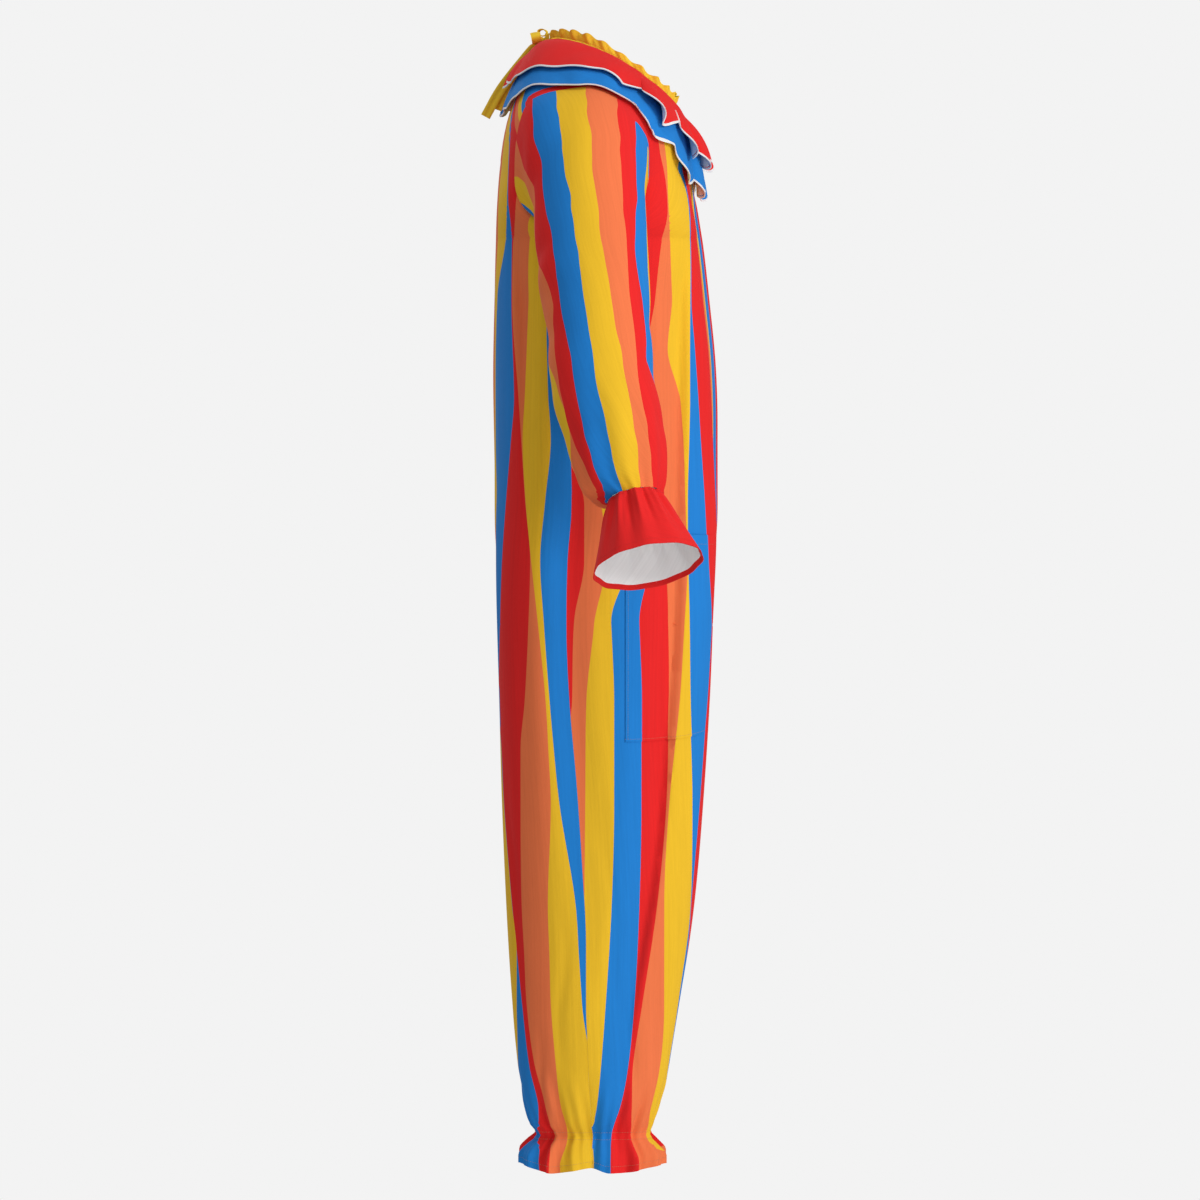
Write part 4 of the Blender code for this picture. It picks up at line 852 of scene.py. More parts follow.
sleeveValues = {
    "blend": 4,  # stations over which the armhole's shape turns into an oval
    "levelFrom": 8, "last": 13,
    "waves": 8, "fineWaves": 21, "fineDepth": 0.0008,
    "fineFrom": 11.2, "fineFade": 1.6,  # stations
    "creaseReach": 2.4,  # widens the creases' half widths
    "frontDowns": (0.0, 0.15, 0.30, 0.45, 0.58, 0.70, 0.82, 0.92, 1.0),
    "backDowns": (0.91, 0.79, 0.66, 0.53, 0.44, 0.38, 0.26, 0.13, 0.0),
    "columns": 104, "rows": 120,
    "ringPoints": 180, "printLevels": 27,
    "shownReach": 0.02,  # above and below the heights at which an edge shows
    "hiddenStep": 0.004, "hiddenSoftening": 12,
}
sleeveAt = curves(("station", "topX", "topZ", "lowX", "lowZ", "middleY", "halfDepth", "wave"), [
    (0, 0.192, -0.008, 0.205, -0.202, 0.022, 0.086, 0),
    (1, 0.220, -0.020, 0.210, -0.209, 0.020, 0.083, 0),
    (2, 0.247, -0.043, 0.216, -0.222, 0.018, 0.079, 0),
    (3, 0.273, -0.078, 0.221, -0.243, 0.014, 0.072, 0),
    (4, 0.298, -0.122, 0.225, -0.268, 0.012, 0.072, 0),
    (5, 0.321, -0.168, 0.231, -0.296, 0.0095, 0.0715, 0),
    (6, 0.343, -0.216, 0.243, -0.330, 0.007, 0.071, 0),
    (7, 0.363, -0.266, 0.260, -0.368, 0.002, 0.067, 0),
    (8, 0.381, -0.318, 0.279, -0.407, -0.001, 0.067, 0),
    (9, 0.398, -0.370, 0.299, -0.448, -0.0065, 0.0675, 0),
    (10, 0.412, -0.421, 0.319, -0.490, -0.018, 0.064, 0.0012),
    (11, 0.422, -0.466, 0.337, -0.525, -0.026, 0.058, 0.0022),
    (12, 0.424, -0.502, 0.350, -0.548, -0.032, 0.051, 0.0018),
    (13, 0.421, -0.526, 0.357, -0.553, -0.044, 0.035, 0.0012),
])
# troughs and ridges that run round the sleeve: station, angle from the top towards the front,
# slant, reach in angle, half width in stations, depth
sleeveCreases = [
    (5.2, -1.35, 0.50, 0.55, 0.16, 0.0030),
    (6.4, -1.30, 0.45, 0.50, 0.14, 0.0026),
    (7.5, -1.35, 0.55, 0.60, 0.18, 0.0032),
    (8.9, -1.25, 0.50, 0.55, 0.15, 0.0024),
    (10.2, -1.10, 0.40, 0.60, 0.16, 0.0022),
    (7.1, 1.45, -0.30, 0.45, 0.15, 0.0022),
    (8.6, 1.35, -0.35, 0.50, 0.17, 0.0028),
    (10.0, 1.30, -0.25, 0.45, 0.14, 0.0020),
    (4.4, 2.60, -0.30, 0.60, 0.20, 0.0034),
    (5.9, 2.90, 0.25, 0.65, 0.18, 0.0030),
    (9.4, 3.00, -0.20, 0.70, 0.20, 0.0026),
]
# edges of the sleeve's stripes, as for the body
sleeveEdges = """
   height     3      2      1      0     -1     -2     -3
     .000     -  110.0   86.0   56.0   17.0  -22.0      -
    -.030     -  110.0   85.5   55.0   16.0  -23.0      -
    -.072     -  108.0   84.5   49.0   11.0  -26.0  -46.5
    -.111     -   97.5   74.0   45.0    8.5  -28.0  -46.5
    -.150     -   83.0   71.5   37.5    4.0  -30.5  -48.0
    -.215     -   83.0   58.5   29.0   -3.9  -34.5  -45.0
    -.280     -   61.0   52.0   19.5  -15.0  -39.5  -53.3
    -.345  72.0   57.5   39.0   10.0  -26.0  -46.0  -60.0
    -.410  50.0   48.0   28.6    0.0  -38.4  -52.7      -
    -.461  36.5   35.0   18.2  -11.7  -46.2  -63.0      -
    -.500     -   18.0    6.0  -20.0  -50.0  -66.0      -
    -.535     -    2.0   -7.0  -30.0  -53.0  -68.0      -
"""


cuffValues = {
    "axis": (0.385, -0.180, -0.905), "length": 0.095,
    "topRadius": 0.0345, "edgeRadius": 0.0710,
    "waves": 11, "uneven": (0.35, 3, 1.0),
    "fineWaves": 29, "fineDepth": 0.0014, "fineStart": 0.2, "fineFall": 1.6,
    "fineDrift": (2.2, 2),  # amount and times
    "columns": 240, "rows": 30,
    "hem": 2,  # rows turned up inside
}
cuffWave = Curve((0.0, 0.15, 0.5, 1.0), (0.0012, 0.0034, 0.0020, 0.0008))


def cuffFrame():
    axis = unit(cuffValues["axis"])
    across = unit(np.cross(axis, (0.0, 1.0, 0.0)))
    return axis, across, np.cross(across, axis)


def armholeLoop(count):
    # points of the armhole: shoulder, front, armpit, back
    downs = np.array(sleeveValues["frontDowns"] + sleeveValues["backDowns"])
    parts = ["front"] * len(sleeveValues["frontDowns"]) + ["back"] * len(sleeveValues["backDowns"])
    at = np.linspace(0, len(downs) - 1, count, endpoint=False)
    down = np.interp(at, np.arange(len(downs)), downs)
    names = [parts[int(math.ceil(place - cloth["nearly"]))] for place in at]
    return np.array([[float(yokeAt[name][axis](d)) for axis in "xyz"] for name, d in zip(names, down)])


def sleeveRing(station, angle, loop):
    row = valuesAt(sleeveAt, station)
    top = np.array((row["topX"], row["middleY"], row["topZ"]))
    low = np.array((row["lowX"], row["middleY"], row["lowZ"]))
    middle, rise = (top + low) / 2, (top - low) / 2
    level = sleeveValues["levelFrom"]
    turned = float(ease((station - level) / (sleeveValues["last"] - level)))
    depth = (np.array((0.0, -1.0, 0.0)) * (1 - turned) - cuffFrame()[2] * turned) * row["halfDepth"]
    fine = sleeveValues["fineDepth"] * ease(
        (station - sleeveValues["fineFrom"]) / sleeveValues["fineFade"])
    lift = (row["wave"] * np.cos(sleeveValues["waves"] * angle)
            + fine * np.cos(sleeveValues["fineWaves"] * angle + station))
    for place, where, slant, reach, width, deep in sleeveCreases:
        away = np.angle(np.exp(1j * (angle - where)))
        along = (station - place - slant * away) / (sleeveValues["creaseReach"] * width)
        lift = lift - deep * np.exp(-(away / reach) ** 2 - along ** 2)
    swell = (1 + lift / row["halfDepth"])[:, None]
    ring = middle + np.cos(angle)[:, None] * rise * swell + np.sin(angle)[:, None] * depth * swell
    plain = float(ease(station / sleeveValues["blend"]))
    if plain < 1:
        first = valuesAt(sleeveAt, 0)
        start = np.array((first["topX"], 0.0, first["topZ"]))
        end = np.array((first["lowX"], 0.0, first["lowZ"]))
        spine, half = unit(start - end), np.linalg.norm(start - end) / 2
        offset = loop - (start + end) / 2
        aside = offset[:, 1] - first["middleY"]
        carried = (middle + (offset @ spine / half)[:, None] * rise
                   - (aside / first["halfDepth"])[:, None] * depth)
        carried[:, 0] += (offset - (offset @ spine)[:, None] * spine)[:, 0]
        ring = carried * (1 - plain) + ring * plain
    return ring


def ringAngles(count):
    return np.linspace(0, 2 * math.pi, count, endpoint=False)


def sleeveSection(station):
    # the ring cut at the armpit: from there by the back, the outer side and the front
    count = sleeveValues["ringPoints"]
    loop = armholeLoop(count)
    ring = sleeveRing(station, ringAngles(count), loop) if station else loop
    return ring[(count // 2 + np.arange(count + 1)) % count]


def sleevePrint():
    # for each edge, a curve of its distance from the armpit by station
    numbers, rows = edgeTable(sleeveEdges)
    levels = np.linspace(0, sleeveValues["last"], sleeveValues["printLevels"])
    shown, spread = shownCurves(numbers, rows), sleeveValues["shownReach"]
    places, limits, hidden = [], [], []
    for level in levels:
        section = sleeveSection(level)
        run = lengths(section)
        rear, fore = int(np.argmax(section[:, 1])), int(np.argmin(section[:, 1]))
        outer = section[rear:fore + 1]
        found = []
        for curve in shown:
            gap = outer[:, 1] - curve(outer[:, 2])
            change = np.nonzero(gap[:-1] * gap[1:] <= 0)[0]
            seen = len(change) and (
                curve.keys[0] - spread <= outer[change[0], 2] <= curve.keys[-1] + spread)
            found.append(float(run[rear + change[0]]) if seen else None)
        known = [k for k, place in enumerate(found) if place is not None]
        lowest, highest = [0.0] * len(found), [run[-1]] * len(found)
        for k in range(known[-1] + 1, len(found)):
            lowest[k] = float(run[fore]) + sleeveValues["hiddenStep"] * (k - known[-1])
        for k in range(known[0]):
            highest[k] = float(run[rear]) - sleeveValues["hiddenStep"] * (known[0] - k)
        places.append(filledIn(numbers, found, -1))
        limits.append((lowest, highest))
        hidden.append([place is None for place in found])
    places, limits, hidden = np.array(places), np.array(limits), np.array(hidden)
    for _ in range(sleeveValues["hiddenSoftening"]):
        nearby = (np.roll(places, 1, axis=0) + np.roll(places, -1, axis=0)) / 2
        nearby[0], nearby[-1] = places[0], places[-1]
        places = np.where(hidden, np.clip(nearby, limits[:, 0], limits[:, 1]), places)
    return {n: Curve(levels, column) for n, column in zip(numbers, places.T)}


sleeveMarks = sleevePrint()


def sleeveGrid(side):
    rows = []
    for station in np.linspace(0, sleeveValues["last"], sleeveValues["rows"]):
        section = sleeveSection(station)
        run = lengths(section)
        even = np.linspace(0, run[-1], sleeveValues["columns"] + 1)
        places, number, onEdge = striped(even, *stripeMarks(sleeveMarks, station, -1))
        row = sampled(places, run, section)[:-1]
        rows.append((row, -number if side == left else number, onEdge[:-1]))
    return stacked(rows, side)


def cuffGrid(side):
    # plain cloth: a grid without stripe numbers or edge marks
    axis, across, deep = cuffFrame()
    last = valuesAt(sleeveAt, sleeveValues["last"])
    start = np.array(((last["topX"] + last["lowX"]) / 2, last["middleY"],
                      (last["topZ"] + last["lowZ"]) / 2))
    angle = ringAngles(cuffValues["columns"])
    amount, times = cuffValues["fineDrift"]
    fineWave = np.cos(cuffValues["fineWaves"] * angle + amount * np.sin(times * angle))
    wave = np.cos(cuffValues["waves"] * angle) * uneven(angle, *cuffValues["uneven"])
    rows = []
    for along in np.linspace(0, 1, cuffValues["rows"]):
        radius = cuffValues["topRadius"] + (cuffValues["edgeRadius"] - cuffValues["topRadius"]) * along
        fine = bump(min(1.0, cuffValues["fineStart"] + along * (1 - cuffValues["fineStart"])))
        fine = fine * cuffValues["fineDepth"] * (1 - along) ** cuffValues["fineFall"]
        radius = (radius + float(cuffWave(along)) * wave + fine * fineWave)[:, None]
        middle = start + axis * cuffValues["length"] * along
        rows.append(middle + np.cos(angle)[:, None] * radius * across
                    + np.sin(angle)[:, None] * radius * deep)
    return np.array(rows) * (side, 1, 1), None, None


collarValues = {
    "waves": 19, "drift": 0.7, "rightDrift": 3.04, "rightDriftBy": 1.15, "points": 561, "rows": 22,
    "opening": math.radians(7),  # half the slit at the back
    "crown": 0.012,
    "seamRoom": {"blue": 0.0010, "red": 0.0004},
    "looseness": 0.0045, "looseFrom": 0.3,
    "growth": 1.5, "lean": 0.3,
    "core": (0.0, 0.0, -0.060),
    "trim": 0.003, "trimRows": 4, "softening": 5, "uneven": (0.18, 5, 1.0),
    "hang": 0.66,  # how much lower the fronts of the folds hang, of their height
    "drop": 0.34,  # the same for their crests
    "sway": 0.30,  # how far the folds widen sideways towards their crests, of their height
}
collarAt = curves(("angle", "redX", "redY", "redZ", "blueX", "blueY", "blueZ"), [
    (0, 0.000, -0.133, -0.104, 0.000, -0.124, -0.140),
    (25, 0.062, -0.124, -0.101, 0.072, -0.118, -0.136),
    (45, 0.112, -0.102, -0.082, 0.128, -0.096, -0.113),
    (65, 0.150, -0.056, -0.044, 0.176, -0.048, -0.053),
    (90, 0.172, 0.000, 0.006, 0.203, 0.004, -0.012),
    (115, 0.160, 0.052, 0.012, 0.190, 0.055, -0.009),
    (145, 0.105, 0.104, 0.003, 0.125, 0.110, -0.027),
    (180, 0.000, 0.128, -0.004, 0.000, 0.131, -0.043),
])
# height of the edges' waves
waveAt = curves(("angle", "red", "blue"), [
    (0, 0.012, 0.012), (22, 0.018, 0.017), (44, 0.023, 0.018), (66, 0.029, 0.010),
    (77, 0.015, 0.004), (88, 0.005, 0.002), (110, 0.002, 0.002), (145, 0.004, 0.003),
    (180, 0.007, 0.006)])
ruffleValues = {
    "waves": 22, "points": 505, "rows": 9, "wave": 0.0024, "seat": 0.0009, "gap": 0.0006,
    "uneven": (0.3, 5, 0.6), "drift": (0.8, 3, 0.5),
    "ripples": 47, "rippleDepth": 0.0009, "leanPower": 1.5, "crest": 0.16, "crestShift": 0.7,
}
# by angle from the front: how high the ruffle stands and how far it leans out
ruffleAt = curves(("angle", "height", "lean"), [
    (0, 0.0120, 0.0030), (25, 0.0115, 0.0030), (45, 0.0100, 0.0025), (62, 0.0085, 0.0010),
    (80, 0.0085, 0.0000), (96, 0.0110, 0.0000), (112, 0.0130, 0.0005), (135, 0.0120, 0.0010),
    (160, 0.0090, 0.0020), (180, 0.0080, 0.0020)])


def outwardAt(angle):
    return np.array((math.sin(angle), -math.cos(angle), 0.0))


def collarAngles(count):
    return np.linspace(collarValues["opening"] - math.pi, math.pi - collarValues["opening"], count)


def neckPoint(angle):
    return neckline(abs(angle)) * (math.copysign(1, angle), 1, 1)


def collarPoint(colour, angle):
    degrees = math.degrees(abs(angle))
    x, y, z = (float(collarAt[colour + axis](degrees)) for axis in "XYZ")
    return np.array((math.copysign(x, angle) if x else 0.0, y, z))


def clearOf(tree, point, lift):
    for _ in range(3):
        place, normal, _, distance = tree.find_nearest(Vector(point))
        height = distance if (Vector(point) - place).dot(normal) > 0 else -distance
        if height >= lift:
            break
        point = np.array(place + normal * lift)
    return point


def surfaceTree(sheets):
    # search tree over outer faces that point away from the body; every second row and column
    points, faces = [], []
    for grid, normals, closed in sheets:
        grid, normals = grid[::2, ::2], normals[::2, ::2]
        rowCount, columnCount = grid.shape[:2]
        first, second, _ = cellTriangles(rowCount, columnCount, closed, None)
        corners = np.concatenate((first, second))
        flat = grid.reshape(-1, 3)
        a, b, c = (flat[corners[:, k]] for k in range(3))
        out = np.einsum("ij,ij->", np.cross(b - a, c - a), normals.reshape(-1, 3)[corners[:, 0]])
        corners = corners if out > 0 else corners[:, ::-1]
        faces += (corners + len(points)).tolist()
        points += flat.tolist()
    return BVHTree.FromPolygons(points, faces)


def flounceRows(colour, below, shares):
    values = collarValues
    angles = collarAngles(values["points"])
    starts = [neckPoint(angle) for angle in angles]
    ends = [collarPoint(colour, angle) for angle in angles]
    waves = waveAt[colour](np.degrees(np.abs(angles))) * uneven(angles, *values["uneven"])
    rows = []
    for share in shares:
        growth = share ** values["growth"]
        loose = values["looseness"] * float(ease(share / values["looseFrom"]))
        room = cloth["layer"] + values["seamRoom"][colour] + loose
        ring = []
        for angle, start, end, wave in zip(angles, starts, ends, waves * growth):
            way, out = end - start, outwardAt(angle)
            level = np.array((math.cos(angle), math.sin(angle), 0.0))
            normal = unit(np.cross(way, np.cross(out, way)))
            normal = normal if normal[2] + values["lean"] * normal @ out > 0 else -normal
            turn = values["waves"] * angle + values["drift"] * max(0.0, math.sin(angle))
            turn += values["rightDrift"] * float(ease(-angle / values["rightDriftBy"]))
            swing = 0.5 + 0.5 * math.cos(turn)
            hang = values["hang"] * math.sin(turn) * (-1 if angle > 0 else 1)
            hang += values["drop"] * swing
            bulge = values["crown"] * 4 * share * (1 - share) + wave * swing
            point = (start + way * share + normal * bulge + unit(way) * hang * wave
                     + level * values["sway"] * wave * math.sin(2 * turn))
            ring.append(clearOf(below, point, room))
        rows.append(softened(np.array(ring), values["softening"]))
    return np.array(rows)


def softened(row, times):
    for _ in range(times):
        row[1:-1] = (row[:-2] + 2 * row[1:-1] + row[2:]) / 4
    return row


def flounce(colour, below, outer, white, binding):
    # a flounce, the binding along its edge, and both as one sheet
    values = collarValues
    width = np.linalg.norm(collarPoint(colour, math.pi / 2) - neckPoint(math.pi / 2))
    edgeShare = 1 - values["trim"] / width
    rows = flounceRows(colour, below, np.linspace(0, edgeShare, values["rows"]))
    edge = flounceRows(colour, below, np.linspace(edgeShare, 1, values["trimRows"]))
    whole = np.concatenate((rows[:-1], edge))
    normals = outwardNormals(whole, core=np.array(values["core"]))
    split = len(rows)
    made = makeCloth(f"collar_{colour}", whole[:split], normals[:split], outer, white)
    trim = makeCloth(f"trim_{colour}", whole[split - 1:], normals[split - 1:], binding, binding)
    return made, trim, (whole, normals, False)


def neckRuffle(below, yellow):
    values = ruffleValues
    angles = collarAngles(values["points"])
    degrees = np.degrees(np.abs(angles))
    amount, times, shift = values["drift"]
    turns = values["waves"] * angles + amount * np.sin(times * angles + shift)
    waves = values["wave"] * uneven(angles, *values["uneven"]) * np.cos(turns)
    ripples = values["rippleDepth"] * np.cos(values["ripples"] * angles)
    crests = values["crest"] * np.sin(turns + values["crestShift"])
    feet = [clearOf(below, neckPoint(angle) + (0.0, 0.0, values["gap"]), values["seat"])
            for angle in angles]
    outward = np.array([outwardAt(angle) for angle in angles])
    rows = []
    for share in np.linspace(0, 1, values["rows"]):
        lean = ruffleAt["lean"](degrees) * share ** values["leanPower"]
        out = lean + waves * share + ripples * float(bump(share))
        high = ruffleAt["height"](degrees) * (1 + crests * share) * share
        rows.append(feet + outward * out[:, None] + high[:, None] * (0.0, 0.0, 1.0))
    grid = np.array(rows)
    normals = outwardNormals(grid, core=np.array((0.0, body["neckY"], body["neckZ"])))
    return grid, normals, makeCloth("neck_ruffle", grid, normals, yellow, yellow)


tieValues = {
    "width": 0.013, "seamWidth": 0.008, "seamDrop": 0.001,
    "knot": (0.0, 0.0765, 0.0595), "knotRadius": 0.0050, "knotGap": 0.0004,
    "leaves": (0.72, -0.69), "gather": 0.35, "gatherLength": 0.010,
    "columns": 9, "seamRows": 14, "loopPoints": 56, "tailRows": 42,
    "sewnShare": 0.03,  # the seam ribbons start this far along, clear of the ruffle
    "pinch": 1.2, "bow": 0.05, "ripples": 5, "curl": 0.0005,
    "waveDepth": 0.0006, "waveLength": 0.011,
    "winds": 7, "windDepth": 0.06, "windDrift": 1.5, "waist": 0.05, "waistReach": 0.25,
    "knotShare": 0.97, "poleShare": 0.4,
}
loopValues = {  # away from the knot, across it, half length and height, width, shift in Y
    "tie_loop_right": ((-1.0, 0.0, 0.10), (0.10, 0.20, 1.0), 0.0145, 0.0076, 0.0130, 0.0065),
    "tie_loop_left": ((0.0, -0.20, 0.98), (0.34, 0.92, 0.19), 0.0048, 0.0068, 0.0085, 0.0),
}
tailPaths = {  # sideways place, and Y and Z of the path below the knot
    "tie_tail_right": (-0.0030, ((0.091, 0.044), (0.100, 0.033), (0.113, 0.017), (0.126, 0.000),
                                 (0.135, -0.014), (0.143, -0.029), (0.149, -0.040))),
    "tie_tail_left": (0.0030, ((0.091, 0.043), (0.099, 0.031), (0.111, 0.013), (0.121, -0.004),
                               (0.128, -0.018), (0.133, -0.031))),
}


def ribbon(name, grid, yellow, closed=False, core=None):
    return makeCloth(name, grid, outwardNormals(grid, closed, core), yellow, yellow, closed)


def seamRibbon(name, ruffle, end, yellow):
    values = tieValues
    knot = np.array(values["knot"])
    sewn = np.array((ruffle[0, end], ruffle[-1, end]))
    tied = knot + unit(sewn.mean(axis=0) - knot) * (values["knotRadius"] + values["knotGap"])
    tied[2] = knot[2] - values["seamDrop"]
    half = np.array((0.0, 0.0, values["seamWidth"] / 2))
    tied = np.array((tied - half, tied + half))
    rows = []
    for share in np.linspace(values["sewnShare"], 1.0, values["seamRows"]):
        pair = sewn + (tied - sewn) * share
        rows.append([pair[0] + (pair[1] - pair[0]) * k for k in np.linspace(0, 1, values["columns"])])
    return ribbon(name, np.array(rows), yellow, core=knot)


def tieLoop(name, along, up, halfLength, halfHeight, width, shift, yellow):
    values = tieValues
    along, up = unit(along), unit(up)
    across = np.cross(along, up)
    centre = (values["knot"] + along * (values["knotRadius"] + values["knotGap"] + halfLength)
              + (0.0, shift, 0.0))
    angle = ringAngles(values["loopPoints"])
    rows = []
    for share in np.linspace(-1, 1, values["columns"]):
        pinch = 0.5 + 0.5 * ease((1 + np.cos(angle)) * values["pinch"])  # gathered at the knot
        rise = halfHeight * (1 - values["bow"] * share ** 2)
        rise = rise * uneven(angle, values["bow"], values["ripples"], 2 * share)
        rows.append(centre + np.cos(angle)[:, None] * along * halfLength
                    + (np.sin(angle) * rise)[:, None] * up
                    + (pinch * share * width / 2)[:, None] * across)
    return ribbon(name, np.array(rows), yellow, closed=True)


def tieTail(name, place, path, yellow):
    values = tieValues
    knot = np.array(values["knot"][1:])
    start = knot + np.array(values["leaves"]) * (values["knotRadius"] - cloth["seamGap"])
    points = np.array([tuple(start), *path])
    run = lengths(points)
    at = np.linspace(0, run[-1], values["tailRows"])
    line = np.stack((np.full(len(at), place), Curve(run, points[:, 0])(at),
                     Curve(run, points[:, 1])(at)), axis=1)
    line[:, 0] += values["waveDepth"] * np.sin(at / values["waveLength"])
    across = unit(np.cross(np.gradient(line, axis=0), (1.0, 0.0, 0.0))) * values["width"] / 2
    narrow = values["gather"] + (1 - values["gather"]) * ease(at / values["gatherLength"])
    rows = []
    for middle, half, share in zip(line, across, narrow):
        rows.append([middle + half * k * share + (values["curl"] * math.cos(values["ripples"] * k), 0, 0)
                     for k in np.linspace(-1, 1, values["columns"])])
    return ribbon(name, np.array(rows), yellow, core=np.array((-place, 0.0, 0.0)))


def tieKnot(yellow):
    # a ball with the turns of the ribbon wound round it
    values = tieValues
    mesh = bpy.data.meshes.new("tie_knot_cloth")
    shape = bmesh.new()
    bmesh.ops.create_icosphere(shape, subdivisions=4, radius=1.0)
    for vertex in shape.verts:
        x, y, z = vertex.co
        wound = math.cos(values["winds"] * y + values["windDrift"] * math.sin(math.atan2(z, x)))
        waist = values["waist"] * math.exp(-(y / values["waistReach"]) ** 2)
        groove = (values["windDepth"] * wound - waist) * (1 - values["poleShare"] * y * y)
        vertex.co *= values["knotRadius"] * (values["knotShare"] + groove)
        vertex.co += Vector(values["knot"])
    shape.to_mesh(mesh)
    shape.free()
    mesh.materials.append(yellow)
    mesh.shade_smooth()
    made = placed("tie_knot_cloth", mesh)
    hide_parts("tie_knot")
    return made


class Nodes:
    # the nodes of one tree, each made with its settings and what its sockets hold
    def __init__(self, tree):
        self.tree = tree

    def node(self, kind, settings=None, values=None):
        made = self.tree.nodes.new(kind)
        for name, value in (settings or {}).items():
            setattr(made, name, value)
        for socket, value in (values or {}).items():
            self.feed(made.inputs[socket], value)
        return made

    def feed(self, socket, value):
        value = value.socket if isinstance(value, Wire) else value
        if isinstance(value, bpy.types.NodeSocket):
            self.tree.links.new(value, socket)
        else:
            socket.default_value = value


class Wire:
    # a value on its way through a material; arithmetic on it adds Math nodes
    def __init__(self, finish, socket):
        self.finish, self.socket = finish, socket

    def math(self, operation, *values):
        made = self.finish.node("ShaderNodeMath", {"operation": operation}, dict(enumerate(values)))
        return Wire(self.finish, made.outputs[0])

    def sine(self):
        return self.math("SINE", self)

    def fraction(self):
        return self.math("FRACT", self)

    def __add__(self, other):
        return self.math("ADD", self, other)

    def __sub__(self, other):
        return self.math("SUBTRACT", self, other)

    def __mul__(self, other):
        return self.math("MULTIPLY", self, other)

    def __truediv__(self, other):
        return self.math("DIVIDE", self, other)


class Finish(Nodes):
    # one material, built node by node
    def __init__(self, name, **constants):
        self.material = bpy.data.materials.new(name)
        self.material.use_nodes = True
        super().__init__(self.material.node_tree)
        self.show(**constants)

    def show(self, **sockets):
        shader = self.tree.nodes["Principled BSDF"]
        for name, value in sockets.items():
            self.feed(shader.inputs[name.replace("_", " ")], value)
        return self.material

    def uv(self, layer):
        made = self.node("ShaderNodeUVMap", {"uv_map": layer})
        parts = self.node("ShaderNodeSeparateXYZ", None, {0: made.outputs[0]})
        return Wire(self, parts.outputs[0]), Wire(self, parts.outputs[1]), made.outputs[0]

    def noise(self, vector, scale, detail=2.0, stretch=(1, 1, 1)):
        mapping = self.node("ShaderNodeMapping", None, {"Vector": vector, "Scale": stretch})
        made = self.node("ShaderNodeTexNoise", None,
                         {"Vector": mapping.outputs[0], "Scale": scale, "Detail": detail})
        return Wire(self, made.outputs[0])

    def toned(self, value, colour):
        return self.node("ShaderNodeHueSaturation", None, {"Value": value, "Color": colour}).outputs[0]


clothLook = {
    "threadsAcross": 900, "threadsAlong": 720,  # to the metre
    "noises": {  # scale, detail, stretch
        "slub": (850.0, 2.0, (1.0, 0.045, 1.0)),
        "broad": (34.0, 3.0, (1.0, 0.35, 1.0)),
        "streak": (300.0, 1.0, (1.0, 0.02, 1.0)),
    },
    "heights": {"slub": 0.7, "across": 0.16, "along": 0.10, "broad": 0.5, "streak": 0.6},
    "tones": {"slub": 0.10, "broad": 0.07, "streak": 0.16},
    "meanTone": 0.165,  # of the noises together
    "bumpDepth": 0.00022, "bumpStrength": 0.55,
    "sheen": 0.02, "sheenRoughness": 0.5, "specular": 0.07,
    "roughness": 0.81, "roughnessOfSlubs": 0.08,
}
threadLook = {
    "grain": 2600.0, "specular": 0.4, "tone": 0.85, "toneOfGrain": 0.25,
    "roughness": 0.5, "roughnessOfGrain": 0.2,
}
colours = {
    "blue": (0.016, 0.202, 0.595),
    "red": (0.740, 0.020, 0.020),
    "orange": (0.800, 0.178, 0.064),
    "yellow": (0.800, 0.480, 0.024),
    "white": (0.800, 0.800, 0.800),
    # brighter than the yellow cloth: painted light that lifts the tie and the neck ruffle where they lie
    # in shade
    "paleYellow": (0.840, 0.560, 0.040),
    # brighter than the binding's white: painted light that lifts the white reverse where it lies in
    # shade, as inside the cuffs
    "paleWhite": (0.900, 0.890, 0.890),
    "bodyThread": (0.45, 0.27, 0.16),
    "redThread": (0.55, 0.02, 0.02),
    "whiteThread": (0.74, 0.74, 0.74),
    "yellowThread": (0.62, 0.36, 0.03),
}
stripeColours = ("blue", "red", "orange", "yellow")  # of stripes 0, 1, 2, 3 and so on


def opaque(colour):
    return (*colours[colour], 1.0)


def blended(waves, shares):
    first, *others = (waves[name] * share for name, share in shares.items())
    return sum(others, first)


def woven(finish, colour):
    # threads, slubs that run down the cloth, and the colour's slight unevenness
    u, v, uv = finish.uv("weave")
    look = clothLook
    waves = {name: finish.noise(uv, *values) for name, values in look["noises"].items()}
    waves["across"] = (u * (2 * math.pi * look["threadsAcross"])).sine()
    waves["along"] = (v * (2 * math.pi * look["threadsAlong"])).sine()
    bumped = finish.node("ShaderNodeBump", None, {
        "Height": blended(waves, look["heights"]), "Strength": look["bumpStrength"],
        "Distance": look["bumpDepth"]})
    tone = blended(waves, look["tones"]) - look["meanTone"] + 1.0
    return finish.show(Base_Color=finish.toned(tone, colour), Normal=bumped.outputs[0],
                       Roughness=waves["slub"] * look["roughnessOfSlubs"] + look["roughness"])


def clothFinish(name):
    return Finish(name, Sheen_Weight=clothLook["sheen"], Specular_IOR_Level=clothLook["specular"],
                  Sheen_Roughness=clothLook["sheenRoughness"])


def stripedCloth():
    finish = clothFinish("striped_cloth")
    count = len(stripeColours)
    around = (finish.uv("print")[0] / count).fraction()
    ramp = finish.node("ShaderNodeValToRGB", None, {0: around})
    stops = ramp.color_ramp.elements
    ramp.color_ramp.interpolation = "CONSTANT"
    while len(stops) < count:
        stops.new(1.0)
    for k, colour in enumerate(stripeColours):
        stops[k].position, stops[k].color = k / count, opaque(colour)
    return woven(finish, ramp.outputs[0])


def plainCloth(name, colour):
    finish = clothFinish(name)
    plain = finish.node("ShaderNodeRGB")
    plain.outputs[0].default_value = opaque(colour)
    return woven(finish, plain.outputs[0])


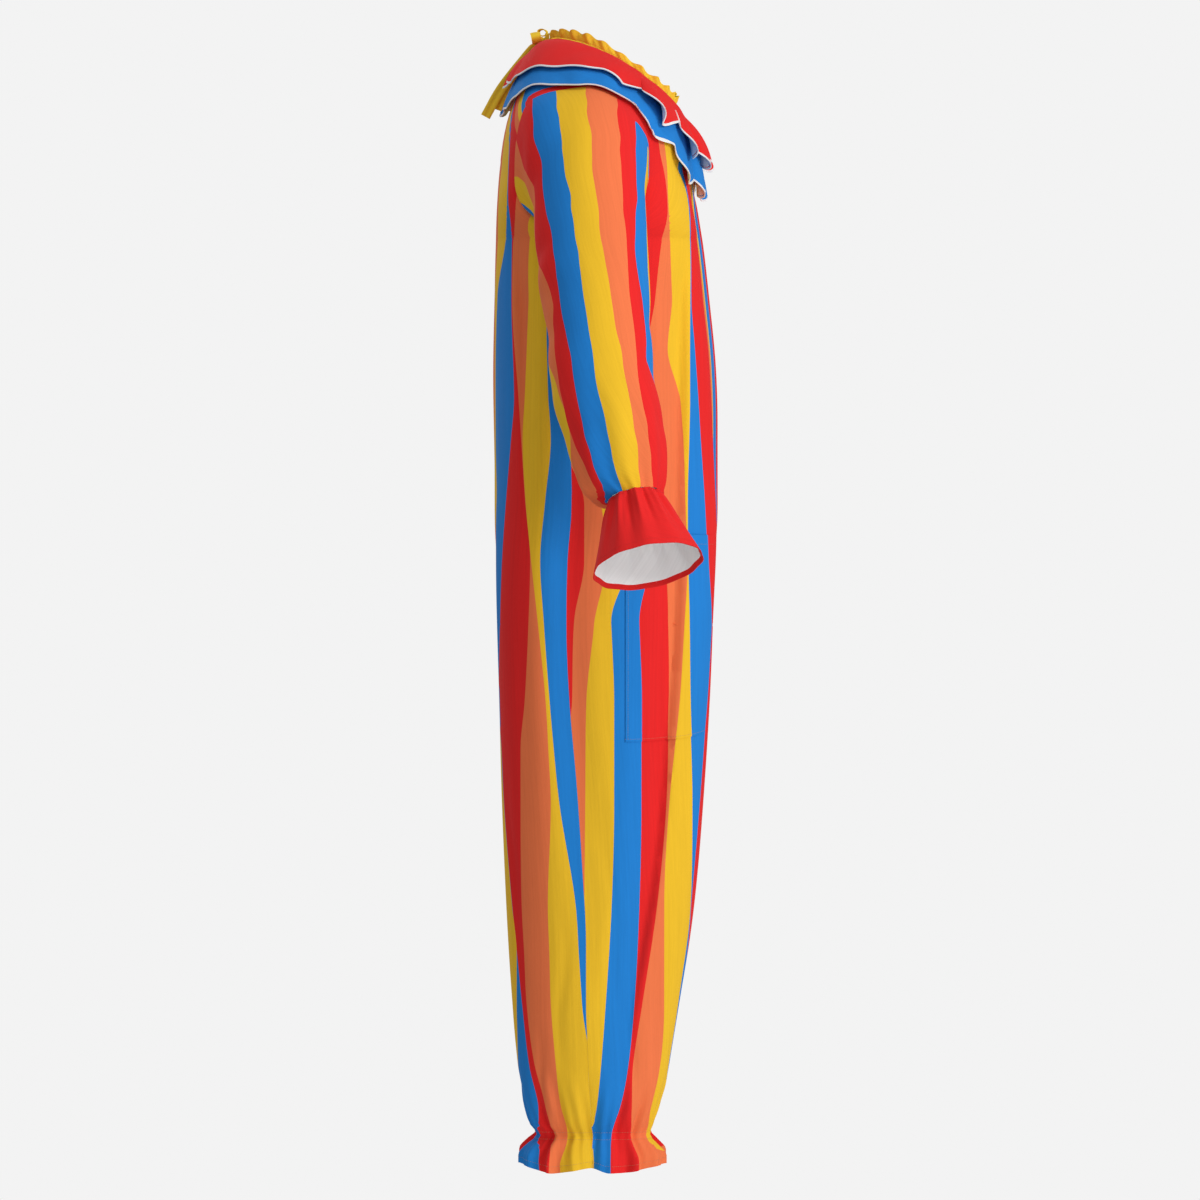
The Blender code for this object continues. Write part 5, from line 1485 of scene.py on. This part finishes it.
def threadFinish(name, colour):
    look = threadLook
    finish = Finish(name, Specular_IOR_Level=look["specular"])
    grain = finish.noise(finish.node("ShaderNodeTexCoord").outputs["Object"], look["grain"], 1.0)
    return finish.show(
        Base_Color=finish.toned(grain * look["toneOfGrain"] + look["tone"], opaque(colour)),
        Roughness=grain * look["roughnessOfGrain"] + look["roughness"])


stitchValues = {
    "pitch": 0.0034, "length": 0.0024, "thread": 0.00034, "lift": 0.00016,
    "ankles": (-1.399, -1.363, -1.354),  # heights: the hem's, and two that hold the elastic
    # rows of a grid, from its start or, below 0, from its end
    "pocket": (-1.7, 2.5), "cuff": (-3.6, 1.2), "collarPastSeam": 0.2, "ruffle": 1.4,
}


class NodeShapes(Nodes):
    # one geometry node tree with named inputs
    def __init__(self, name, inputs):
        super().__init__(bpy.data.node_groups.new(name, "GeometryNodeTree"))
        sockets = [("Geometry", way, "NodeSocketGeometry") for way in ("INPUT", "OUTPUT")]
        sockets += [(label, "INPUT", kind) for label, kind in inputs.items()]
        for label, way, kind in sockets:
            self.tree.interface.new_socket(label, in_out=way, socket_type=kind)
        self.start, self.end = self.node("NodeGroupInput"), self.node("NodeGroupOutput")

    def identifier(self, label):
        return next(item.identifier for item in self.tree.interface.items_tree
                    if item.name == label and item.in_out == "INPUT")


def stitchTree():
    # thread laid along a path: a small oval at each even step, turned along it
    shapes = NodeShapes("stitches", {"Pitch": "NodeSocketFloat", "Length": "NodeSocketFloat",
                                     "Thread": "NodeSocketFloat", "Material": "NodeSocketMaterial"})
    into = shapes.start.outputs
    curve = shapes.node("GeometryNodeMeshToCurve", None, {"Mesh": into["Geometry"]})
    even = shapes.node("GeometryNodeResampleCurve", {"mode": "LENGTH"},
                       {"Curve": curve.outputs[0], "Length": into["Pitch"]})
    tangent = shapes.node("GeometryNodeInputTangent")
    turn = shapes.node("FunctionNodeAlignRotationToVector", {"axis": "Z"},
                       {"Vector": tangent.outputs[0]})
    thread = shapes.node("GeometryNodeMeshUVSphere", None,
                         {"Segments": 5, "Rings": 4, "Radius": 0.5})
    size = shapes.node("ShaderNodeCombineXYZ", None,
                       {"X": into["Thread"], "Y": into["Thread"], "Z": into["Length"]})
    sized = shapes.node("GeometryNodeTransform", None,
                        {"Geometry": thread.outputs[0], "Scale": size.outputs[0]})
    placed = shapes.node("GeometryNodeInstanceOnPoints", None,
                         {"Points": even.outputs[0], "Instance": sized.outputs[0],
                          "Rotation": turn.outputs[0]})
    solid = shapes.node("GeometryNodeRealizeInstances", None, {"Geometry": placed.outputs[0]})
    smooth = shapes.node("GeometryNodeSetShadeSmooth", None, {0: solid.outputs[0]})
    painted = shapes.node("GeometryNodeSetMaterial", None,
                          {"Geometry": smooth.outputs[0], "Material": into["Material"]})
    shapes.tree.links.new(painted.outputs[0], shapes.end.inputs[0])
    return shapes


def sewn(name, paths, finish, shapes, slot):
    # one mesh of stitches along each path, a list of points on the cloth's outer face
    points = [tuple(point) for path in paths for point in path]
    edges, first = [], 0
    for path in paths:
        edges += [(first + k, first + k + 1) for k in range(len(path) - 1)]
        first += len(path)
    mesh = bpy.data.meshes.new(name + "_path")
    mesh.from_pydata(points, edges, [])
    holder = placed(name + "_path", mesh)
    modifier = holder.modifiers.new("stitches", "NODES")
    modifier.node_group = shapes.tree
    for label in ("Pitch", "Length", "Thread"):
        modifier[shapes.identifier(label)] = stitchValues[label.lower()]
    modifier[shapes.identifier("Material")] = finish
    graph = bpy.context.evaluated_depsgraph_get()
    made = bpy.data.meshes.new_from_object(holder.evaluated_get(graph), depsgraph=graph)
    made.name = name
    bpy.data.objects.remove(holder, do_unlink=True)
    piece = placed(name, made)
    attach(piece, "root")


def alongRow(sheet, row, closed=False):
    # a path on the outer face, along a row that may lie between two; below 0, from the last
    grid, normals = sheet[:2]
    row += len(grid) if row < 0 else 0
    first = min(int(row), len(grid) - 2)
    share = row - first
    path = grid[first] * (1 - share) + grid[first + 1] * share + normals[first] * stitchValues["lift"]
    return np.concatenate((path, path[:1])) if closed else path


def alongColumn(sheet, column, start, end):
    grid, normals = sheet[:2]
    return grid[start:end, column] + normals[start:end, column] * stitchValues["lift"]


def rowAt(height):
    # the row of a body panel that lies at a height, which may fall between two rows
    below = (body["armpit"] - height) / (body["armpit"] - body["hem"])
    count = int(round((body["armpit"] - body["hem"]) / body["rowStep"]))
    return sum(body["yokeRows"]) + below * count


stageValues = {
    "target": (0.0, 0.0, -0.668), "distance": 16.0, "lens": 369.23, "sensor": 36.0,
    "clip": (0.1, 100.0),
    "floor": -1.500, "floorRadius": 1.6, "floorEdges": 96, "floorFade": (0.30, 0.62),
    "floorTone": 0.86, "floorRoughness": 0.9,
    "backdrop": 0.896, "ambient": 0.42,
    "lights": {  # place, size and power
        "keyLight": ((-3.2, -4.4, 1.6), 2.6, 172),
        "lowLight": ((-4.4, -2.6, -2.6), 2.4, 75),
        "fillLight": ((-4.0, 3.0, 0.4), 3.0, 9),
        "topLight": ((-1.6, -0.2, 3.6), 2.6, 38),
        "backLight": ((3.6, 1.6, 1.6), 3.0, 50),
    },
}


def grey(tone):
    return (tone, tone, tone, 1.0)


def aimed(name, data, place):
    made = placed(name, data)
    made.location = place
    way = Vector(stageValues["target"]) - Vector(place)
    made.rotation_euler = way.to_track_quat("-Z", "Y").to_euler()
    return made


def camera():
    data = bpy.data.cameras.new("camera")
    data.sensor_width, data.lens = stageValues["sensor"], stageValues["lens"]
    data.clip_start, data.clip_end = stageValues["clip"]
    x, y, z = stageValues["target"]
    bpy.context.scene.camera = aimed("camera", data, (x - stageValues["distance"], y, z))


def studio():
    # the backdrop's tone is for the camera alone; the cloth is lit by the ambient one
    world = bpy.data.worlds.new("studio")
    world.use_nodes = True
    nodes = Nodes(world.node_tree)
    path = nodes.node("ShaderNodeLightPath")
    mix = nodes.node("ShaderNodeMix", {"data_type": "RGBA"}, {
        0: path.outputs["Is Camera Ray"], 6: grey(stageValues["ambient"]),
        7: grey(stageValues["backdrop"])})
    nodes.feed(world.node_tree.nodes["Background"].inputs["Color"], mix.outputs[2])
    for name, (place, size, power) in stageValues["lights"].items():
        data = bpy.data.lights.new(name, "AREA")
        data.shape, data.size, data.energy = "DISK", size, power
        aimed(name, data, place)
    scene = bpy.context.scene
    scene.world = world
    scene.view_settings.view_transform = "Standard"
    scene.view_settings.look = "None"


def floor():
    finish = Finish("floor", Roughness=stageValues["floorRoughness"],
                    Base_Color=grey(stageValues["floorTone"]))
    position = finish.node("ShaderNodeTexCoord").outputs["Object"]
    away = finish.node("ShaderNodeVectorMath", {"operation": "LENGTH"}, {0: position})
    near, far = stageValues["floorFade"]
    fade = finish.node("ShaderNodeMapRange", None, {
        "Value": away.outputs[1], "From Min": near, "From Max": far, "To Min": 1.0, "To Max": 0.0})
    mesh = bpy.data.meshes.new("floor")
    shape = bmesh.new()
    bmesh.ops.create_circle(shape, cap_ends=True, segments=stageValues["floorEdges"],
                            radius=stageValues["floorRadius"])
    shape.to_mesh(mesh)
    shape.free()
    mesh.materials.append(finish.show(Alpha=fade.outputs[0]))
    made = placed("floor", mesh)
    made.location = (0.0, 0.0, stageValues["floor"])


camera()
studio()
floor()
printed = stripedCloth()
red = plainCloth("red_cloth", "red")
blue = plainCloth("blue_cloth", "blue")
yellow = plainCloth("yellow_cloth", "yellow")
# the ribbons' yellow is made brighter as painted light, for the tie and ruffle where they lie in shade
ribbonYellow = plainCloth("ribbon_yellow", "paleYellow")
# the reverse's white is made brighter as painted light, for the insides that lie in shade
white = plainCloth("white_reverse", "paleWhite")
binding = plainCloth("white_binding", "white")
print("finishes: ready")

panels = onBothSides({part: partial(panelGrid, part) for part in ("front", "back")}, printed, white,
                     hem=int(cloth["hemBand"] / body["rowStep"]), core=body["core"])
print("body: four panels")
pocketSheets = onBothSides({"pocket": pocketGrid}, printed, white, core=body["legMiddle"])
sleeveSheets = onBothSides({"sleeve": sleeveGrid}, printed, white, closed=True)
cuffSheets = onBothSides({"cuff": cuffGrid}, red, white, closed=True, hem=cuffValues["hem"])
pieces = {name: sheet[2] for group in (panels, pocketSheets, sleeveSheets, cuffSheets)
          for name, sheet in group.items()}
print("sleeves, cuffs and pockets: ready")

layers = [(grid, normals, False) for grid, normals, _ in panels.values()]
layers += [(grid, normals, True) for grid, normals, _ in sleeveSheets.values()]
blueCollar, blueTrim, blueTop = flounce("blue", surfaceTree(layers), blue, white, binding)
redCollar, redTrim, redTop = flounce("red", surfaceTree([blueTop]), red, white, binding)
ruffleSheet = neckRuffle(surfaceTree([redTop]), ribbonYellow)
pieces.update({"collar_blue": blueCollar, "trim_blue": blueTrim, "collar_red": redCollar,
               "trim_red": redTrim, "neck_ruffle": ruffleSheet[2]})
print("collar: two flounces and a ruffle")

for name, end in (("seam_ribbon_right", 0), ("seam_ribbon_left", -1)):
    pieces[name] = seamRibbon(name, ruffleSheet[0], end, ribbonYellow)
for name, loop in loopValues.items():
    pieces[name] = tieLoop(name, *loop, ribbonYellow)
for name, tail in tailPaths.items():
    pieces[name] = tieTail(name, *tail, ribbonYellow)
pieces["tie_knot"] = tieKnot(ribbonYellow)
print("tie: ready")

shapes = stitchTree()
bodyThread = threadFinish("body_thread", "bodyThread")
redThread = threadFinish("red_thread", "redThread")
whiteThread = threadFinish("white_thread", "whiteThread")
yellowThread = threadFinish("yellow_thread", "yellowThread")
for sideName in sideNames.values():
    ankleRows = [rowAt(height) for height in stitchValues["ankles"]]
    sewn(f"ankle_stitches_{sideName}",
         [alongRow(panels[f"{part}_{sideName}"], row) for part in ("front", "back")
          for row in ankleRows], bodyThread, shapes, "striped_cloth")
    pocket = pocketSheets[f"pocket_{sideName}"]
    rowCount, columnCount = pocket[0].shape[:2]
    sewn(f"pocket_stitches_{sideName}",
         [*(alongRow(pocket, row) for row in stitchValues["pocket"]),
          alongColumn(pocket, columnCount - 2, 0, rowCount - 1)], bodyThread, shapes, "striped_cloth")
    cuff = cuffSheets[f"cuff_{sideName}"]
    sewn(f"cuff_stitches_{sideName}", [alongRow(cuff, row, True) for row in stitchValues["cuff"]],
         redThread, shapes, "red_cloth")
collarRow = collarValues["rows"] + stitchValues["collarPastSeam"]
sewn("collar_stitches", [alongRow(top, collarRow) for top in (blueTop, redTop)],
     whiteThread, shapes, "white_binding")
sewn("ruffle_stitches", [alongRow(ruffleSheet, stitchValues["ruffle"])], yellowThread, shapes,
     "yellow_cloth")
print("stitches: sewn")

for sideName in sideNames.values():
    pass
# every piece hangs from the root body
for name, piece in pieces.items():
    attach(piece, "root")
